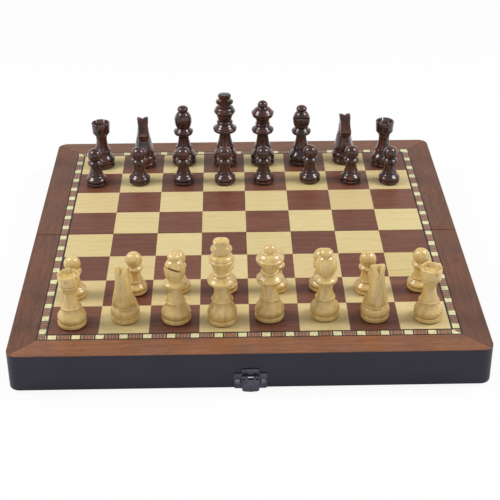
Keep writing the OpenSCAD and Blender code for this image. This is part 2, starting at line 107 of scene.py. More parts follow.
def new_finish(name, **sockets):
    made = bpy.data.materials.new(name)
    made.use_nodes = True
    shader = made.node_tree.nodes["Principled BSDF"]
    for socket, value in sockets.items():
        shader.inputs[socket.replace("_", " ").title().replace("Ior", "IOR")].default_value = value
    return made, made.node_tree, shader


print("white as linear light:", linear("#ffffff"))

# %% [markdown]
# ## Wood
# Every wood here shows the same three things at different sizes. Broad streaks are the growth rings
# where they leave the sheet or the turned surface. Fine fibres run along the grain, and pores are
# short dark dashes among them. Noise that is stretched along the grain makes all three, so one
# function builds any of the woods, from the width of its streaks and fibres in millimetres.
#
# Real fibres are about 0.1 mm wide. The render shows nothing finer than about 0.8 mm, so fibres are
# drawn at 0.5 mm and wider. The varnish on top fills the grain, so the bump is only hundredths of a
# millimetre deep, and the gloss comes from a coat that changes a little along the fibres.

# %% A function for any wood
def wood(tree, shader, place, streaks, streak_mm, fibre_mm, fibre_code, fibre, rough, bump_mm,
         pores=0.0):
    warp = add(tree, "TexNoise", {"Vector": place, "Scale": repeats(streak_mm * 3), "Detail": 2.0})
    sway = (streak_mm * MM,) * 3
    bent = add(tree, "VectorMath", {0: warp.outputs["Color"], 1: sway}, operation="MULTIPLY")
    bent = add(tree, "VectorMath", {0: place, 1: bent}, operation="ADD")
    broad = add(tree, "TexNoise",
                {"Vector": bent, "Scale": repeats(streak_mm), "Detail": 4.0, "Roughness": 0.6})
    colour = add(tree, "ValToRGB", {"Fac": broad}, stops=streaks)
    fine = add(tree, "TexNoise",
               {"Vector": place, "Scale": repeats(fibre_mm), "Detail": 2.0, "Roughness": 0.5})
    dark = add(tree, "MapRange", {"Value": fine, "From Min": 0.48, "From Max": 0.7, "To Max": fibre})
    if pores:
        dash = add(tree, "TexVoronoi",
                   {"Vector": place, "Scale": repeats(fibre_mm * 3), "Randomness": 1.0})
        dot = add(tree, "MapRange", {"Value": dash, "From Min": 0.22, "From Max": 0.1, "To Max": pores})
        dark = add(tree, "Math", {0: dark, 1: dot}, operation="ADD", use_clamp=True)
    mixed = add(tree, "Mix", {0: dark, 6: colour, 7: linear(fibre_code)}, data_type="RGBA")
    tree.links.new(mixed.outputs[2], shader.inputs["Base Color"])
    gloss = add(tree, "MapRange", {"Value": fine, "From Min": 0.3, "From Max": 0.7,
                                   "To Min": rough - 0.05, "To Max": rough + 0.06})
    tree.links.new(gloss.outputs[0], shader.inputs["Roughness"])
    relief = add(tree, "Bump", {"Height": fine, "Distance": bump_mm * MM, "Strength": 1.0})
    tree.links.new(relief.outputs[0], shader.inputs["Normal"])
    return mixed


def grain_along(tree, stretch):
    where = add(tree, "TexCoord").outputs["Object"]
    return add(tree, "VectorMath", {0: where, 1: stretch}, operation="MULTIPLY")


print("wood function ready")

# %% [markdown]
# ## Satin black lacquer
# The outsides of the walls are sprayed with several coats of black nitrocellulose lacquer, which is
# rubbed to a satin. A faint violet cast and a soft, wide reflection of the room are all the eye
# gets, with a slight orange peel about 2 mm across left by the spray.

# %% Satin black lacquer on wood
def satin_black_lacquer():
    cloud_mm, peel_mm, peel_deep = 45, 2.0, 0.02
    finish, tree, shader = new_finish("satin_black_lacquer", ior=1.47, specular_ior_level=0.4,
                                      coat_weight=0.08, coat_roughness=0.35)
    where = add(tree, "TexCoord").outputs["Object"]
    cloud = add(tree, "TexNoise", {"Vector": where, "Scale": repeats(cloud_mm), "Detail": 3.0})
    colour = add(tree, "ValToRGB", {"Fac": cloud}, stops=[(0.3, "#141124"), (0.7, "#1e182c")])
    tree.links.new(colour.outputs[0], shader.inputs["Base Color"])
    peel = add(tree, "TexNoise", {"Vector": where, "Scale": repeats(peel_mm), "Detail": 2.0})
    gloss = add(tree, "MapRange", {"Value": peel, "To Min": 0.36, "To Max": 0.48})
    tree.links.new(gloss.outputs[0], shader.inputs["Roughness"])
    relief = add(tree, "Bump", {"Height": peel, "Distance": peel_deep * MM})
    tree.links.new(relief.outputs[0], shader.inputs["Normal"])
    return finish


black_lacquer = satin_black_lacquer()
print("finish:", black_lacquer.name)

# %% [markdown]
# ## Birch plywood
# The panels under the veneer are thin birch plywood, rotary cut, so wide soft figures lie in a pale
# ground. They are mostly hidden, but they show in a section and from inside an empty box.

# %% Birch plywood
def birch_plywood():
    finish, tree, shader = new_finish("birch_plywood", ior=1.5)
    wood(tree, shader, grain_along(tree, (0.15, 1, 1)), [(0.35, "#c9a878"), (0.6, "#b8935f")],
         14, 0.6, "#8f6c41", 0.3, 0.62, 0.05)
    return finish


plywood = birch_plywood()
print("finish:", plywood.name)

# %% [markdown]
# ## Band of walnut-brown veneer
# The band is sliced mahogany stained walnut brown, sawn into strips that meet in mitres. In each
# strip the grain runs lengthwise, so its direction changes along the board's diagonals, where |y|
# passes |x|. The side strips get painted shade, darker and more violet than the front one, standing
# in for the darker look of veneer seen along its fibres. The front strip is also tinted a little
# lighter and warmer than the rear one. Orange clouds 22 mm wide lie in a greyer brown.

# %% Veneer of the band
def on_the_sides(tree, where):
    parts = add(tree, "SeparateXYZ", {0: where})
    x_size = add(tree, "Math", {0: parts.outputs["X"]}, operation="ABSOLUTE")
    y_size = add(tree, "Math", {0: parts.outputs["Y"]}, operation="ABSOLUTE")
    return parts, add(tree, "Math", {0: x_size, 1: y_size}, operation="GREATER_THAN")


def band_veneer_finish():
    streak_mm, fibre_mm, cloud_mm = 3, 0.5, 22
    finish, tree, shader = new_finish("stained_mahogany_band", ior=1.45)
    where = add(tree, "TexCoord").outputs["Object"]
    parts, side = on_the_sides(tree, where)
    along_x = add(tree, "VectorMath", {0: where, 1: (0.06, 1, 1)}, operation="MULTIPLY")
    along_y = add(tree, "VectorMath", {0: where, 1: (1, 0.06, 1)}, operation="MULTIPLY")
    place = add(tree, "Mix", {0: side, 4: along_x, 5: along_y}, data_type="VECTOR")
    streaks = [(0.3, "#704a35"), (0.5, "#875a40"), (0.7, "#9a6847")]
    mixed = wood(tree, shader, place.outputs[1], streaks,
                 streak_mm, fibre_mm, "#432a20", 0.7, 0.42, 0.03, pores=0.5)
    cloud = add(tree, "TexNoise", {"Vector": where, "Scale": repeats(cloud_mm), "Detail": 3.0})
    warm = add(tree, "ValToRGB", {"Fac": cloud}, stops=[(0.35, "#775748"), (0.65, "#9a6038")])
    blend = add(tree, "Mix", {0: 0.3, 6: mixed.outputs[2], 7: warm}, data_type="RGBA")
    front = add(tree, "Math", {0: parts.outputs["Y"], 1: 0.0}, operation="LESS_THAN")
    # Painted shade: the side strips are multiplied darker and more violet; front and rear differ a
    # little in tint.
    at_rear, at_front, side_painted_shade = linear("#e4e6ee"), linear("#fffaf2"), linear("#c9c2c8")
    tone = add(tree, "Mix", {0: front, 6: at_rear, 7: at_front}, data_type="RGBA")
    tone = add(tree, "Mix", {0: side, 6: tone.outputs[2], 7: side_painted_shade}, data_type="RGBA")
    toned = add(tree, "Mix", {0: 1.0, 6: blend.outputs[2], 7: tone.outputs[2]},
                data_type="RGBA", blend_type="MULTIPLY")
    tree.links.new(toned.outputs[2], shader.inputs["Base Color"])
    return finish


band_veneer = band_veneer_finish()
print("finish:", band_veneer.name)

# %% [markdown]
# ## Veneer of the squares
# Light squares are maple and dark ones mahogany, both sliced, with the grain from left to right.
# Squares are cut from long strips of different sheets, so each is a little lighter, darker or
# redder than its neighbour. Dividing the place by the square's width and dropping the fraction gives
# every square its own number, and white noise turns that into its own tone and piece of sheet.

# %% Veneer of the squares
def square_veneer(name, streaks, streak_mm, fibre_mm, fibre_code, fibre, rough, tones, pores=0.0):
    finish, tree, shader = new_finish(name, ior=1.45)
    where = add(tree, "TexCoord").outputs["Object"]
    per_square = (repeats(square), repeats(square), 0)
    flat = add(tree, "VectorMath", {0: where, 1: per_square}, operation="MULTIPLY")
    cell = add(tree, "VectorMath", {0: flat}, operation="FLOOR")
    chance = add(tree, "TexWhiteNoise", {"Vector": cell}, noise_dimensions="3D")
    moved = add(tree, "VectorMath", {0: where, 1: chance.outputs["Color"]}, operation="ADD")
    place = add(tree, "VectorMath", {0: moved, 1: (0.07, 1, 1)}, operation="MULTIPLY")
    mixed = wood(tree, shader, place, streaks, streak_mm, fibre_mm, fibre_code, fibre, rough, 0.02,
                 pores)
    tone = add(tree, "ValToRGB", {"Fac": chance.outputs["Value"]}, stops=tones)
    toned = add(tree, "Mix", {0: 1.0, 6: mixed.outputs[2], 7: tone},
                data_type="RGBA", blend_type="MULTIPLY")
    tree.links.new(toned.outputs[2], shader.inputs["Base Color"])
    return finish


maple_veneer = square_veneer(
    "sliced_maple_veneer", [(0.3, "#d2bf8c"), (0.55, "#d9c99b"), (0.75, "#cab480")], 4, 0.6,
    "#b89a5e", 0.25, 0.45, [(0.0, "#f2ecd8"), (0.5, "#fffdf4"), (1.0, "#f6efe4")])
mahogany_veneer = square_veneer(
    "sliced_mahogany_veneer", [(0.3, "#6a3f30"), (0.5, "#774a38"), (0.7, "#835440")], 3, 0.5,
    "#4b2a20", 0.5, 0.42, [(0.0, "#e6dcda"), (0.5, "#ffffff"), (1.0, "#eed6c8")], pores=0.3)
print("finishes:", maple_veneer.name, mahogany_veneer.name)

# %% [markdown]
# ## Mosaic strip
# The strip round the squares is bought by the metre. Sticks of dyed and plain wood are glued into a
# block and sliced across, so the same pattern repeats every 18.6 mm: a cream block of 6.5 mm, a dark
# tick, a brown block striped with paler sticks, and a dark tick. The pattern runs along x at the
# front and back and along y at the sides. The blocks are drawn from the fraction of the place over
# the period: the distance from the middle of the cream block picks the colour.

# %% Mosaic strip
period, cream_w, tick_w, edge_w, first_block = 18.6, 6.5, 1.1, 0.7, 5.7


def mosaic_finish():
    finish, tree, shader = new_finish("sliced_mosaic_strip", ior=1.45, roughness=0.42)
    where = add(tree, "TexCoord").outputs["Object"]
    parts, side = on_the_sides(tree, where)
    run = add(tree, "Mix", {0: side, 2: parts.outputs["X"], 3: parts.outputs["Y"]}, data_type="FLOAT")
    step = add(tree, "Math", {0: run, 1: repeats(period), 2: 0.5 + first_block / period},
               operation="MULTIPLY_ADD")
    share = add(tree, "Math", {0: step}, operation="FRACT")
    off = add(tree, "Math", {0: share, 1: 0.5}, operation="SUBTRACT")
    off = add(tree, "Math", {0: off}, operation="ABSOLUTE")
    tick = cream_w / 2 / period
    edge = tick + tick_w / period
    brown = edge + edge_w / period
    blocks = add(tree, "ValToRGB", {"Fac": off}, stops=[
        (0.0, "#e9e2b4"), (tick, "#232114"), (edge, "#b9a188"), (brown, "#8f6655"),
        (0.42, "#a97f70"), (0.47, "#7d5a48")])
    blocks.color_ramp.interpolation = "CONSTANT"
    grain = add(tree, "VectorMath", {0: where, 1: (1, 1, 0.1)}, operation="MULTIPLY")
    speck = add(tree, "TexNoise", {"Vector": grain, "Scale": repeats(1.4), "Detail": 3.0})
    shade = add(tree, "ValToRGB", {"Fac": speck}, stops=[(0.35, "#d9d2c8"), (0.65, "#ffffff")])
    mixed = add(tree, "Mix", {0: 1.0, 6: blocks, 7: shade},
                data_type="RGBA", blend_type="MULTIPLY")
    tree.links.new(mixed.outputs[2], shader.inputs["Base Color"])
    relief = add(tree, "Bump", {"Height": speck, "Distance": 0.02 * MM})
    tree.links.new(relief.outputs[0], shader.inputs["Normal"])
    return finish


mosaic_inlay = mosaic_finish()
print("finish:", mosaic_inlay.name, "period", period, "mm")

# %% [markdown]
# ## Dyed line veneer
# The two lines that hold the mosaic strip are pear wood, dyed through to a greenish black. Dyed
# veneer keeps its fine fibres, which lighten the black a little.

# %% Dyed line veneer
def dyed_line_veneer():
    finish, tree, shader = new_finish("dyed_pear_line", ior=1.45)
    wood(tree, shader, grain_along(tree, (1, 1, 1)), [(0.3, "#1c1b14"), (0.7, "#2a261c")],
         6, 0.6, "#1d1a12", 0.4, 0.45, 0.02)
    return finish


line_veneer = dyed_line_veneer()
print("finish:", line_veneer.name)

# %% [markdown]
# ## Blackened steel and bright steel
# Hinges, clasp and keeper are pressed from steel sheet and chemically blackened, which leaves a dark
# grey metal with a dull sheen, brighter on the heads of the screws, where it is rubbed. Pins and
# hinge screws are bright zinc-plated steel. Metals keep Blender's default IOR. Real scratches are
# finer than a pixel, so they are drawn 0.8 mm apart.

# %% Blackened steel and bright steel
def steel_finish(name, dull, bright, low, high, metallic, patch_mm=5, scratch_mm=0.8):
    finish, tree, shader = new_finish(name, metallic=metallic)
    where = add(tree, "TexCoord").outputs["Object"]
    patch = add(tree, "TexNoise", {"Vector": where, "Scale": repeats(patch_mm), "Detail": 4.0})
    colour = add(tree, "ValToRGB", {"Fac": patch}, stops=[(0.35, dull), (0.7, bright)])
    tree.links.new(colour.outputs[0], shader.inputs["Base Color"])
    drawn = add(tree, "VectorMath", {0: where, 1: (1, 1, 0.1)}, operation="MULTIPLY")
    scratch = add(tree, "TexNoise", {"Vector": drawn, "Scale": repeats(scratch_mm), "Detail": 3.0})
    gloss = add(tree, "MapRange", {"Value": scratch, "To Min": low, "To Max": high})
    tree.links.new(gloss.outputs[0], shader.inputs["Roughness"])
    relief = add(tree, "Bump", {"Height": scratch, "Distance": 0.01 * MM})
    tree.links.new(relief.outputs[0], shader.inputs["Normal"])
    return finish


blackened_steel = steel_finish("blackened_steel", "#45434f", "#5a5864", 0.35, 0.5, 0.8)
rubbed_steel = steel_finish("rubbed_blackened_steel", "#63616c", "#807e89", 0.25, 0.4, 0.9)
bright_steel = steel_finish("zinc_plated_steel", "#b9bbc0", "#d4d6da", 0.2, 0.35, 1.0)
print("finishes:", blackened_steel.name, rubbed_steel.name, bright_steel.name)

# %% [markdown]
# ## Flock and felt
# The inserts are covered with wine red flock, short nylon fibres standing in glue, and the men stand
# on discs of green wool felt. Both are matt, with a bright fuzz at grazing angles, which is what
# sheen is for. Their fibres are far finer than a pixel, so the nap is drawn as patches of 3 mm.

# %% Flock and felt
def cloth_finish(name, deep, raised, patch_mm, nap_mm):
    finish, tree, shader = new_finish(name, roughness=0.95, sheen_weight=0.6, sheen_roughness=0.4)
    where = add(tree, "TexCoord").outputs["Object"]
    nap = add(tree, "TexNoise",
              {"Vector": where, "Scale": repeats(patch_mm), "Detail": 6.0, "Roughness": 0.7})
    colour = add(tree, "ValToRGB", {"Fac": nap}, stops=[(0.35, deep), (0.65, raised)])
    tree.links.new(colour.outputs[0], shader.inputs["Base Color"])
    tuft = add(tree, "TexNoise", {"Vector": where, "Scale": repeats(nap_mm), "Detail": 3.0})
    relief = add(tree, "Bump", {"Height": tuft, "Distance": 0.15 * MM})
    tree.links.new(relief.outputs[0], shader.inputs["Normal"])
    return finish


flock = cloth_finish("wine_red_flock", "#4e181e", "#671f27", 3.0, 0.6)
felt = cloth_finish("green_wool_felt", "#1f2c20", "#2c3d2c", 3.0, 0.7)
print("finishes:", flock.name, felt.name)

# %% [markdown]
# ## Wood of the men
# The light men are turned from hornbeam, a pale even wood, under clear satin varnish. The dark men
# are the same wood, stained a reddish black and varnished glossier, so that each form carries two
# sharp reflections of the studio's lamps. In both the grain stands upright in the blank, so the
# texture is stretched along Z. Each man stands elsewhere in the noise and so has its own grain.

# %% Wood of the men
def turned_wood(name, streaks, streak_mm, fibre_code, fibre, rough, coat, coat_rough, shine=0.5):
    finish, tree, shader = new_finish(name, ior=1.5, coat_weight=coat, coat_roughness=coat_rough,
                                      specular_ior_level=shine)
    place = grain_along(tree, (1, 1, 0.1))
    wood(tree, shader, place, streaks, streak_mm, 0.6, fibre_code, fibre, rough, 0.02)
    return finish


hornbeam = turned_wood(
    "varnished_hornbeam", [(0.3, "#e6c984"), (0.5, "#dbbb74"), (0.72, "#c9a45c")], 4,
    "#9c7236", fibre=0.25, rough=0.34, coat=0.8, coat_rough=0.1)
stained_hornbeam = turned_wood(
    "stained_hornbeam", [(0.3, "#1b1418"), (0.48, "#3c1d19"), (0.7, "#653022")], 6,
    "#140c0e", fibre=0.35, rough=0.3, coat=1.0, coat_rough=0.06, shine=0.2)
print("finishes:", hornbeam.name, stained_hornbeam.name)

# %% [markdown]
# ## From numbers to meshes
# Most pieces come from two shop methods. A slab is a flat outline with thickness and eased edges,
# for veneers and pressed plates. A turned piece is an outline spun round an upright axis, for men,
# pins and screws. Smooth shading with sharp edges marked by angle lets both catch the light the way
# a worked edge does. Cuts are made with the exact Boolean modifier, and applied at once.

# %% Helpers for solids
def clean(mesh, weld_mm=0.0):
    work = bmesh.new()
    work.from_mesh(mesh)
    if weld_mm:
        bmesh.ops.remove_doubles(work, verts=work.verts, dist=weld_mm * MM)
    bmesh.ops.recalc_face_normals(work, faces=work.faces)
    work.to_mesh(mesh)
    work.free()


def solid(name, points, faces):
    mesh = bpy.data.meshes.new(name)
    mesh.from_pydata([[c * MM for c in p] for p in points], [], faces)
    clean(mesh)
    made = bpy.data.objects.new(name, mesh)
    bpy.context.scene.collection.objects.link(made)
    return made


def cut_away(item, cutters):
    for cutter in cutters:
        step = item.modifiers.new("cut", "BOOLEAN")
        step.operation, step.solver, step.object = "DIFFERENCE", "EXACT", cutter
    shaped = item.evaluated_get(bpy.context.evaluated_depsgraph_get())
    item.data = bpy.data.meshes.new_from_object(shaped)
    item.modifiers.clear()
    for cutter in cutters:
        bpy.data.objects.remove(cutter)
    return item


def fit(item, body, finish, node, angle=32):
    mesh = item.data
    mesh.polygons.foreach_set("use_smooth", [True] * len(mesh.polygons))
    mesh.set_sharp_from_angle(angle=math.radians(angle))
    mesh.materials.clear()
    mesh.materials.append(finish)
    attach(item, body)
    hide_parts(node)
    return item


def join(*parts):
    points, faces = [], []
    for some_points, some_faces in parts:
        faces += [[i + len(points) for i in face] for face in some_faces]
        points += list(some_points)
    return points, faces


print("helpers for solids ready")

# %% [markdown]
# ## Outlines, slabs, blocks and turned pieces
# The two methods need little mathematics. Arcs make the corners of an outline, and an inset moves
# the outline inwards, which is how an edge is eased. A loft joins loops of points that lie over each
# other with faces, as planks join the frames of a boat, and slabs, blocks and turned pieces are all
# lofts. Each takes a function that places its points, so the same slab can lie flat or stand up.

# %% Helpers for outlines, slabs, blocks and turned pieces
def arc(x, y, r, a, b, n):
    turns = [math.radians(a + (b - a) * i / n) for i in range(n + 1)]
    return [(x + r * math.cos(t), y + r * math.sin(t)) for t in turns]


def inset(outline, d):
    moved = []
    for i, p in enumerate(outline):
        a, b = Vector(p) - Vector(outline[i - 1]), Vector(outline[(i + 1) % len(outline)]) - Vector(p)
        a, b = a.normalized(), b.normalized()
        left = Vector((-a.y - b.y, a.x + b.x))
        moved.append(tuple(Vector(p) + left * d / max(left.dot(Vector((-a.y, a.x))), 0.3)))
    return moved


def loft(loops, ends=True):
    count = len(loops[0])
    points = [p for loop in loops for p in loop]
    faces = []
    for k in range(len(loops) - (1 if ends else 0)):
        low, high = k * count, (k + 1) % len(loops) * count
        steps = [(i, (i + 1) % count) for i in range(count)]
        faces += [[low + i, low + j, high + j, high + i] for i, j in steps]
    if ends:
        faces += [list(range(count))[::-1], list(range(len(points) - count, len(points)))]
    return points, faces


def slab(outline, low, high, ease, place, both=False):
    under = [(ease * 1.6, low), (ease, low), (ease * 0.3, low + ease * 0.3), (0, low + ease)]
    over = [(0, high - ease), (ease * 0.3, high - ease * 0.3), (ease, high), (ease * 1.6, high)]
    steps = (under if both else [(0, low)]) + over
    return loft([[place(a, b, c) for a, b in inset(outline, d)] for d, c in steps])


def block(low, high):
    corners = [(low[0], low[1]), (high[0], low[1]), (high[0], high[1]), (low[0], high[1])]
    return loft([[(x, y, z) for x, y in corners] for z in (low[2], high[2])])


def turned(outline, place, sides=64):
    ring = [(math.cos(math.tau * k / sides), math.sin(math.tau * k / sides)) for k in range(sides)]
    body = outline[1:-1] if outline[0][0] == 0 else outline
    points, faces = loft([[place(r * c, r * s, z) for c, s in ring] for r, z in body], ends=False)
    faces = faces[: (len(body) - 1) * sides]
    for start, z in ((0, outline[0][1]), ((len(body) - 1) * sides, outline[-1][1])):
        points.append(place(0, 0, z))
        faces += [[start + k, start + (k + 1) % sides, len(points) - 1] for k in range(sides)]
    return points, faces


print("a quarter round of 9 mm:", len(arc(0, 0, 9, 0, 90, 8)), "points")

# %% [markdown]
# ## Walls
# Each half is a frame of 8 mm boards, rounded at its two outer corners and lacquered black. One
# section, rounded at the rim where hands hold it, is swept round the outline of the half, which
# keeps the rounding even all the way. The seam wall is then cut for the two hinges: a shallow bed
# for the leaves and a round channel for the barrel.

# %% Walls of both halves
hinge_x, hinge_l, leaf_w, leaf_t = 118.0, 38.0, 7.35, 0.9
relief_play, end_play, overcut, inner_r = 0.25, 0.2, 1.0, 0.6
relief_r = math.hypot(rim, leaf_t) + relief_play
rim_r, arris, inner_ease = 0.9, 0.15, 0.5
sides_of = {"base": 1, "lid": -1}


def half_outline(d):
    r_out, r_in = max(corner_r - d, inner_r), inner_r
    x, y0, y1 = half_w - d, seam + d, half_w - d
    return (arc(-x + r_in, y0 + r_in, r_in, 180, 270, 4) + arc(x - r_in, y0 + r_in, r_in, 270, 360, 4)
            + arc(x - r_out, y1 - r_out, r_out, 0, 90, 12)
            + arc(-x + r_out, y1 - r_out, r_out, 90, 180, 12))


wall_section = [(rim_r, rim)]
for t in (0.4, 0.8, 1.2):
    wall_section.append((rim_r - rim_r * math.sin(t), rim + rim_r - rim_r * math.cos(t)))
wall_section += [(0, rim + rim_r), (0, rim + 1.4), (0, wall_top - arris), (arris, wall_top)]
wall_section += [(wall_t, wall_top), (wall_t, rim + inner_ease), (wall_t - inner_ease, rim)]


def hinge_cutters(way):
    made = []
    for side in (-1, 1):
        x = side * hinge_x
        edge = sorted((-2 * overcut * way, leaf_w * way))
        bed = block((x - hinge_l / 2, edge[0], rim - overcut), (x + hinge_l / 2, edge[1], rim + leaf_t))
        long = hinge_l / 2 + end_play
        channel = turned([(0, -long), (relief_r, -long), (relief_r, long), (0, long)],
                         lambda a, b, c, x=x: (x + c, a, rim + b), 48)
        made += [solid("bed", *bed), solid("channel", *channel)]
    return made


for half, way in sides_of.items():
    loops = [[(x, y * way, z) for x, y in half_outline(d)] for d, z in wall_section]
    walls = cut_away(solid(half + "_walls_lacquered", *loft(loops, ends=False)), hinge_cutters(way))
    fit(walls, half, black_lacquer, half + "_walls")
    print(walls.name, len(walls.data.polygons), "faces")

# %% [markdown]
# ## Veneer band
# The band is three strips of veneer on each half, open at the seam and mitred at the corners. Its
# arris is eased with a stroke of sandpaper before varnishing, and that narrow slope is the thin
# light line that the eye sees above the black walls. So each strip is a slab with an eased edge.

# %% Veneer band of both halves
glue, sanded = 0.05, 0.35


def strips(u, v, r, n=10):
    turn = math.degrees(math.asin(glue / 2 / r))
    bow = arc(v - r, v - r, r, 45 + turn, 90, n)
    right = arc(v - r, v - r, r, 0, 45 - turn, n)
    rear = [(glue / 2 - u, u), (u - glue / 2, u)] + bow + [(-x, y) for x, y in reversed(bow)]
    side = [(u, seam), (v, seam)] + right + [(u, u - glue / 2)]
    return [rear, side, [(-x, y) for x, y in reversed(side)]]


for half, way in sides_of.items():
    parts = [slab(strip, wall_top, top, sanded, lambda a, b, c: (a, b * way, c))
             for strip in strips(inlay, half_w, corner_r)]
    band = solid(half + "_band_eased", *join(*parts))
    fit(band, half, band_veneer, half + "_border")
    print(band.name, len(band.data.polygons), "faces")

# %% [markdown]
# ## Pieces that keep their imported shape
# Squares, mosaic strips, lines and panels are flat sawn pieces with crisp edges, and the hinges'
# leaves and pins are right as packed. They only need their finishes.

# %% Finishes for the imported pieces
kept = {"light_squares": maple_veneer, "dark_squares": mahogany_veneer, "mosaic": mosaic_inlay,
        "lines": line_veneer, "panel": plywood}
plain = {f"{half}_{name}": finish for half in sides_of for name, finish in kept.items()}
plain |= {"hinge_leaves_base": blackened_steel, "hinge_leaves_lid": blackened_steel,
          "hinge_pins": bright_steel}
for node, finish in plain.items():
    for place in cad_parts[node].material_slots:
        place.material = finish
print("packed pieces with a finish:", len(plain))

# %% [markdown]
# ## Flocked inserts
# Each half holds a moulded tray with two rows of eight pockets, long ones for the officers and short
# ones for the pawns. Moulding needs round corners and the flock softens them more, so a pocket is a
# stack of rounded rectangles: over the lip, down the wall and into a rounded floor. A frame of faces
# joins each pocket to the edges of its own part of the tray.

# %% Flocked inserts
cavity_x, cavity_y0, cavity_y1 = half_w - wall_t, seam + wall_t, half_w - wall_t
insert_z, floor_z, back_z = rim + 1.5, wall_top - panel_t - 1.2, wall_top - panel_t
officer, pawn = (27.2, 77.1), (23.6, 40.8)
pocket_r, floor_r, lean, tray_play = 7.5, 5.0, 0.3, 0.3
web = (cavity_y1 - cavity_y0 - officer[1] - pawn[1]) / 3
row_split = cavity_y0 + 1.5 * web + officer[1]


def rounded_box(x, y, w, d, r, n=6):
    u, v = w / 2 - r, d / 2 - r
    quarters = [(u, -v, -90), (u, v, 0), (-u, v, 90), (-u, -v, 180)]
    return [p for a, b, start in quarters for p in arc(x + a, y + b, r, start, start + 90, n)]


def pocket(x0, x1, y0, y1, x, y, size, way):
    lip = [(-1.2, 0), (-0.5, 0.25), (-0.1, 0.8), (0, 1.6)]
    steps = [(d, insert_z + z) for d, z in lip] + [(lean, floor_z - floor_r)]
    for run, rise in arc(0, 0, floor_r, 20, 80, 3) + [(0, floor_r)]:
        steps.append((lean + floor_r - run, floor_z - floor_r + rise))
    loops = []
    for d, z in steps:
        shape = rounded_box(x, y, size[0] - 2 * d, size[1] - 2 * d, pocket_r - d)
        loops.append([(a, b * way, z) for a, b in shape])
    outer = rounded_box((x0 + x1) / 2, (y0 + y1) / 2, x1 - x0, y1 - y0, 0.01)
    points, faces = loft([[(a, b * way, insert_z) for a, b in outer]] + loops)
    return points, faces[:-2] + faces[-1:]


def tray(way):
    parts = []
    gap, pitch = tray_play, 2 * cavity_x / 8
    x_low, x_high, y_low, y_high = gap - cavity_x, cavity_x - gap, cavity_y0 + gap, cavity_y1 - gap
    for i in range(8):
        x = -cavity_x + (i + 0.5) * pitch
        x0, x1 = max(x - pitch / 2, x_low), min(x + pitch / 2, x_high)
        parts.append(pocket(x0, x1, y_low, row_split, x, cavity_y0 + web + officer[1] / 2, officer, way))
        parts.append(pocket(x0, x1, row_split, y_high, x, cavity_y1 - web - pawn[1] / 2, pawn, way))
    corners = ((x_low, y_low), (x_high, y_low), (x_high, y_high), (x_low, y_high))
    points, faces = loft([[(x, y * way, z) for x, y in corners] for z in (insert_z, back_z)])
    return join(*parts, (points, faces[:-2] + faces[-1:]))


for half, way in sides_of.items():
    made = solid(half + "_insert_flocked", *tray(way))
    clean(made.data, weld_mm=0.02)
    fit(made, half, flock, half + "_insert", 40)
    print(made.name, len(made.data.polygons), "faces")

# %% [markdown]
# ## Screws
# The hinge screws are countersunk and sit flush in the leaves. Those of the clasp and keeper have
# low round heads. All have a cross recess, which is sawn here with two crossed blocks, because that
# small dark cross is what makes a screw read as a screw.

# %% Screws
def cross_cut(place, reach, deep, width=0.7):
    made = []
    for a, b in ((reach, width / 2), (width / 2, reach)):
        corners = [(-a, -b), (a, -b), (a, b), (-a, b)]
        loops = [[place(x * k, y, z) for x, y in corners] for z, k in ((-deep, 0.6), (3, 1))]
        made.append(solid("recess", *loft(loops)))
    return made


def screw(outline, place, reach, deep, low):
    item = solid("screw", *turned(outline, place, 40))
    return cut_away(item, cross_cut(lambda a, b, c: place(a, b, low + c), reach, deep))


def gather(name, items):
    points, faces = join(*[([[c / MM for c in v.co] for v in i.data.vertices],
                            [list(p.vertices) for p in i.data.polygons]) for i in items])
    for item in items:
        bpy.data.objects.remove(item)
    return solid(name, points, faces)


leaf_screw_y, leaf_screw_gap = (relief_r + leaf_w) / 2, 14
sunk = [(0, -8), (0.9, -8), (0.9, -0.9), (1.8, 0), (0, 0)]
for half, way in sides_of.items():
    items = []
    for x in [s * hinge_x + d for s in (-1, 1) for d in (-leaf_screw_gap, 0, leaf_screw_gap)]:
        items.append(screw(sunk, lambda a, b, c: (x + a, (leaf_screw_y + b) * way, rim - c),
                           reach=1.1, deep=0.45, low=0))
    node = f"hinge_screws_{half}"
    fit(gather(node + "_crossed", items), half, bright_steel, node)
    print("hinge screws on the", half, len(items))

# %% [markdown]
# ## Clasp and keeper
# The clasp hangs in the middle of the front wall. A pressed plate with two screwed ears carries a
# pin in its knuckles, and the lever swings on it. The lever's foot is hooked, to snap under the lip
# of the keeper, a like plate on the rear wall, when the box is shut. Pressed sheet has rounded
# corners and eased edges, so every flat part is a slab, and knuckles and pin are turned lying down.

# %% Clasp and keeper: sizes and plates
plate_w, plate_h, plate_t, tab_h, lever_w, lever_t = 26.0, 14.0, 1.0, 18.0, 13.5, 1.1
pivot_up, pivot_out, knuckle_r, clasp_pin_r = 11.8, 2.65, 1.5, 0.7
ear_x = (lever_w + (plate_w - lever_w) / 2) / 2


def out(a, b, c):
    return a, -(half_w + c), rim + b


def back(a, b, c):
    return a, half_w + c, rim + b


def oblong(x, low, high):
    return [(-x, low), (x, low), (x, high), (-x, high)]


def plate_outline(h_mid, r=1.8):
    w, m = plate_w / 2, lever_w / 2
    right = arc(w - r, r, r, -90, 0, 6) + arc(w - r, plate_h - r, r, 0, 90, 6)
    if h_mid > plate_h:
        right += [(m, plate_h)] + arc(m - 1, h_mid - 1, 1, 0, 90, 4)
    return right + [(-x, y) for x, y in reversed(right)]


def rod(x0, x1, r, place, ease=0.15):
    outline = [(0, x0), (r - ease, x0), (r, x0 + ease), (r, x1 - ease), (r - ease, x1), (0, x1)]
    return turned(outline, lambda a, b, c: place(c, pivot_up + b, pivot_out + a), 40)


def clasp_side(parts, place):
    made = []
    for x0, x1 in parts:
        made += [rod(x0, x1, knuckle_r, place), rod(-x1, -x0, knuckle_r, place)]
    return made


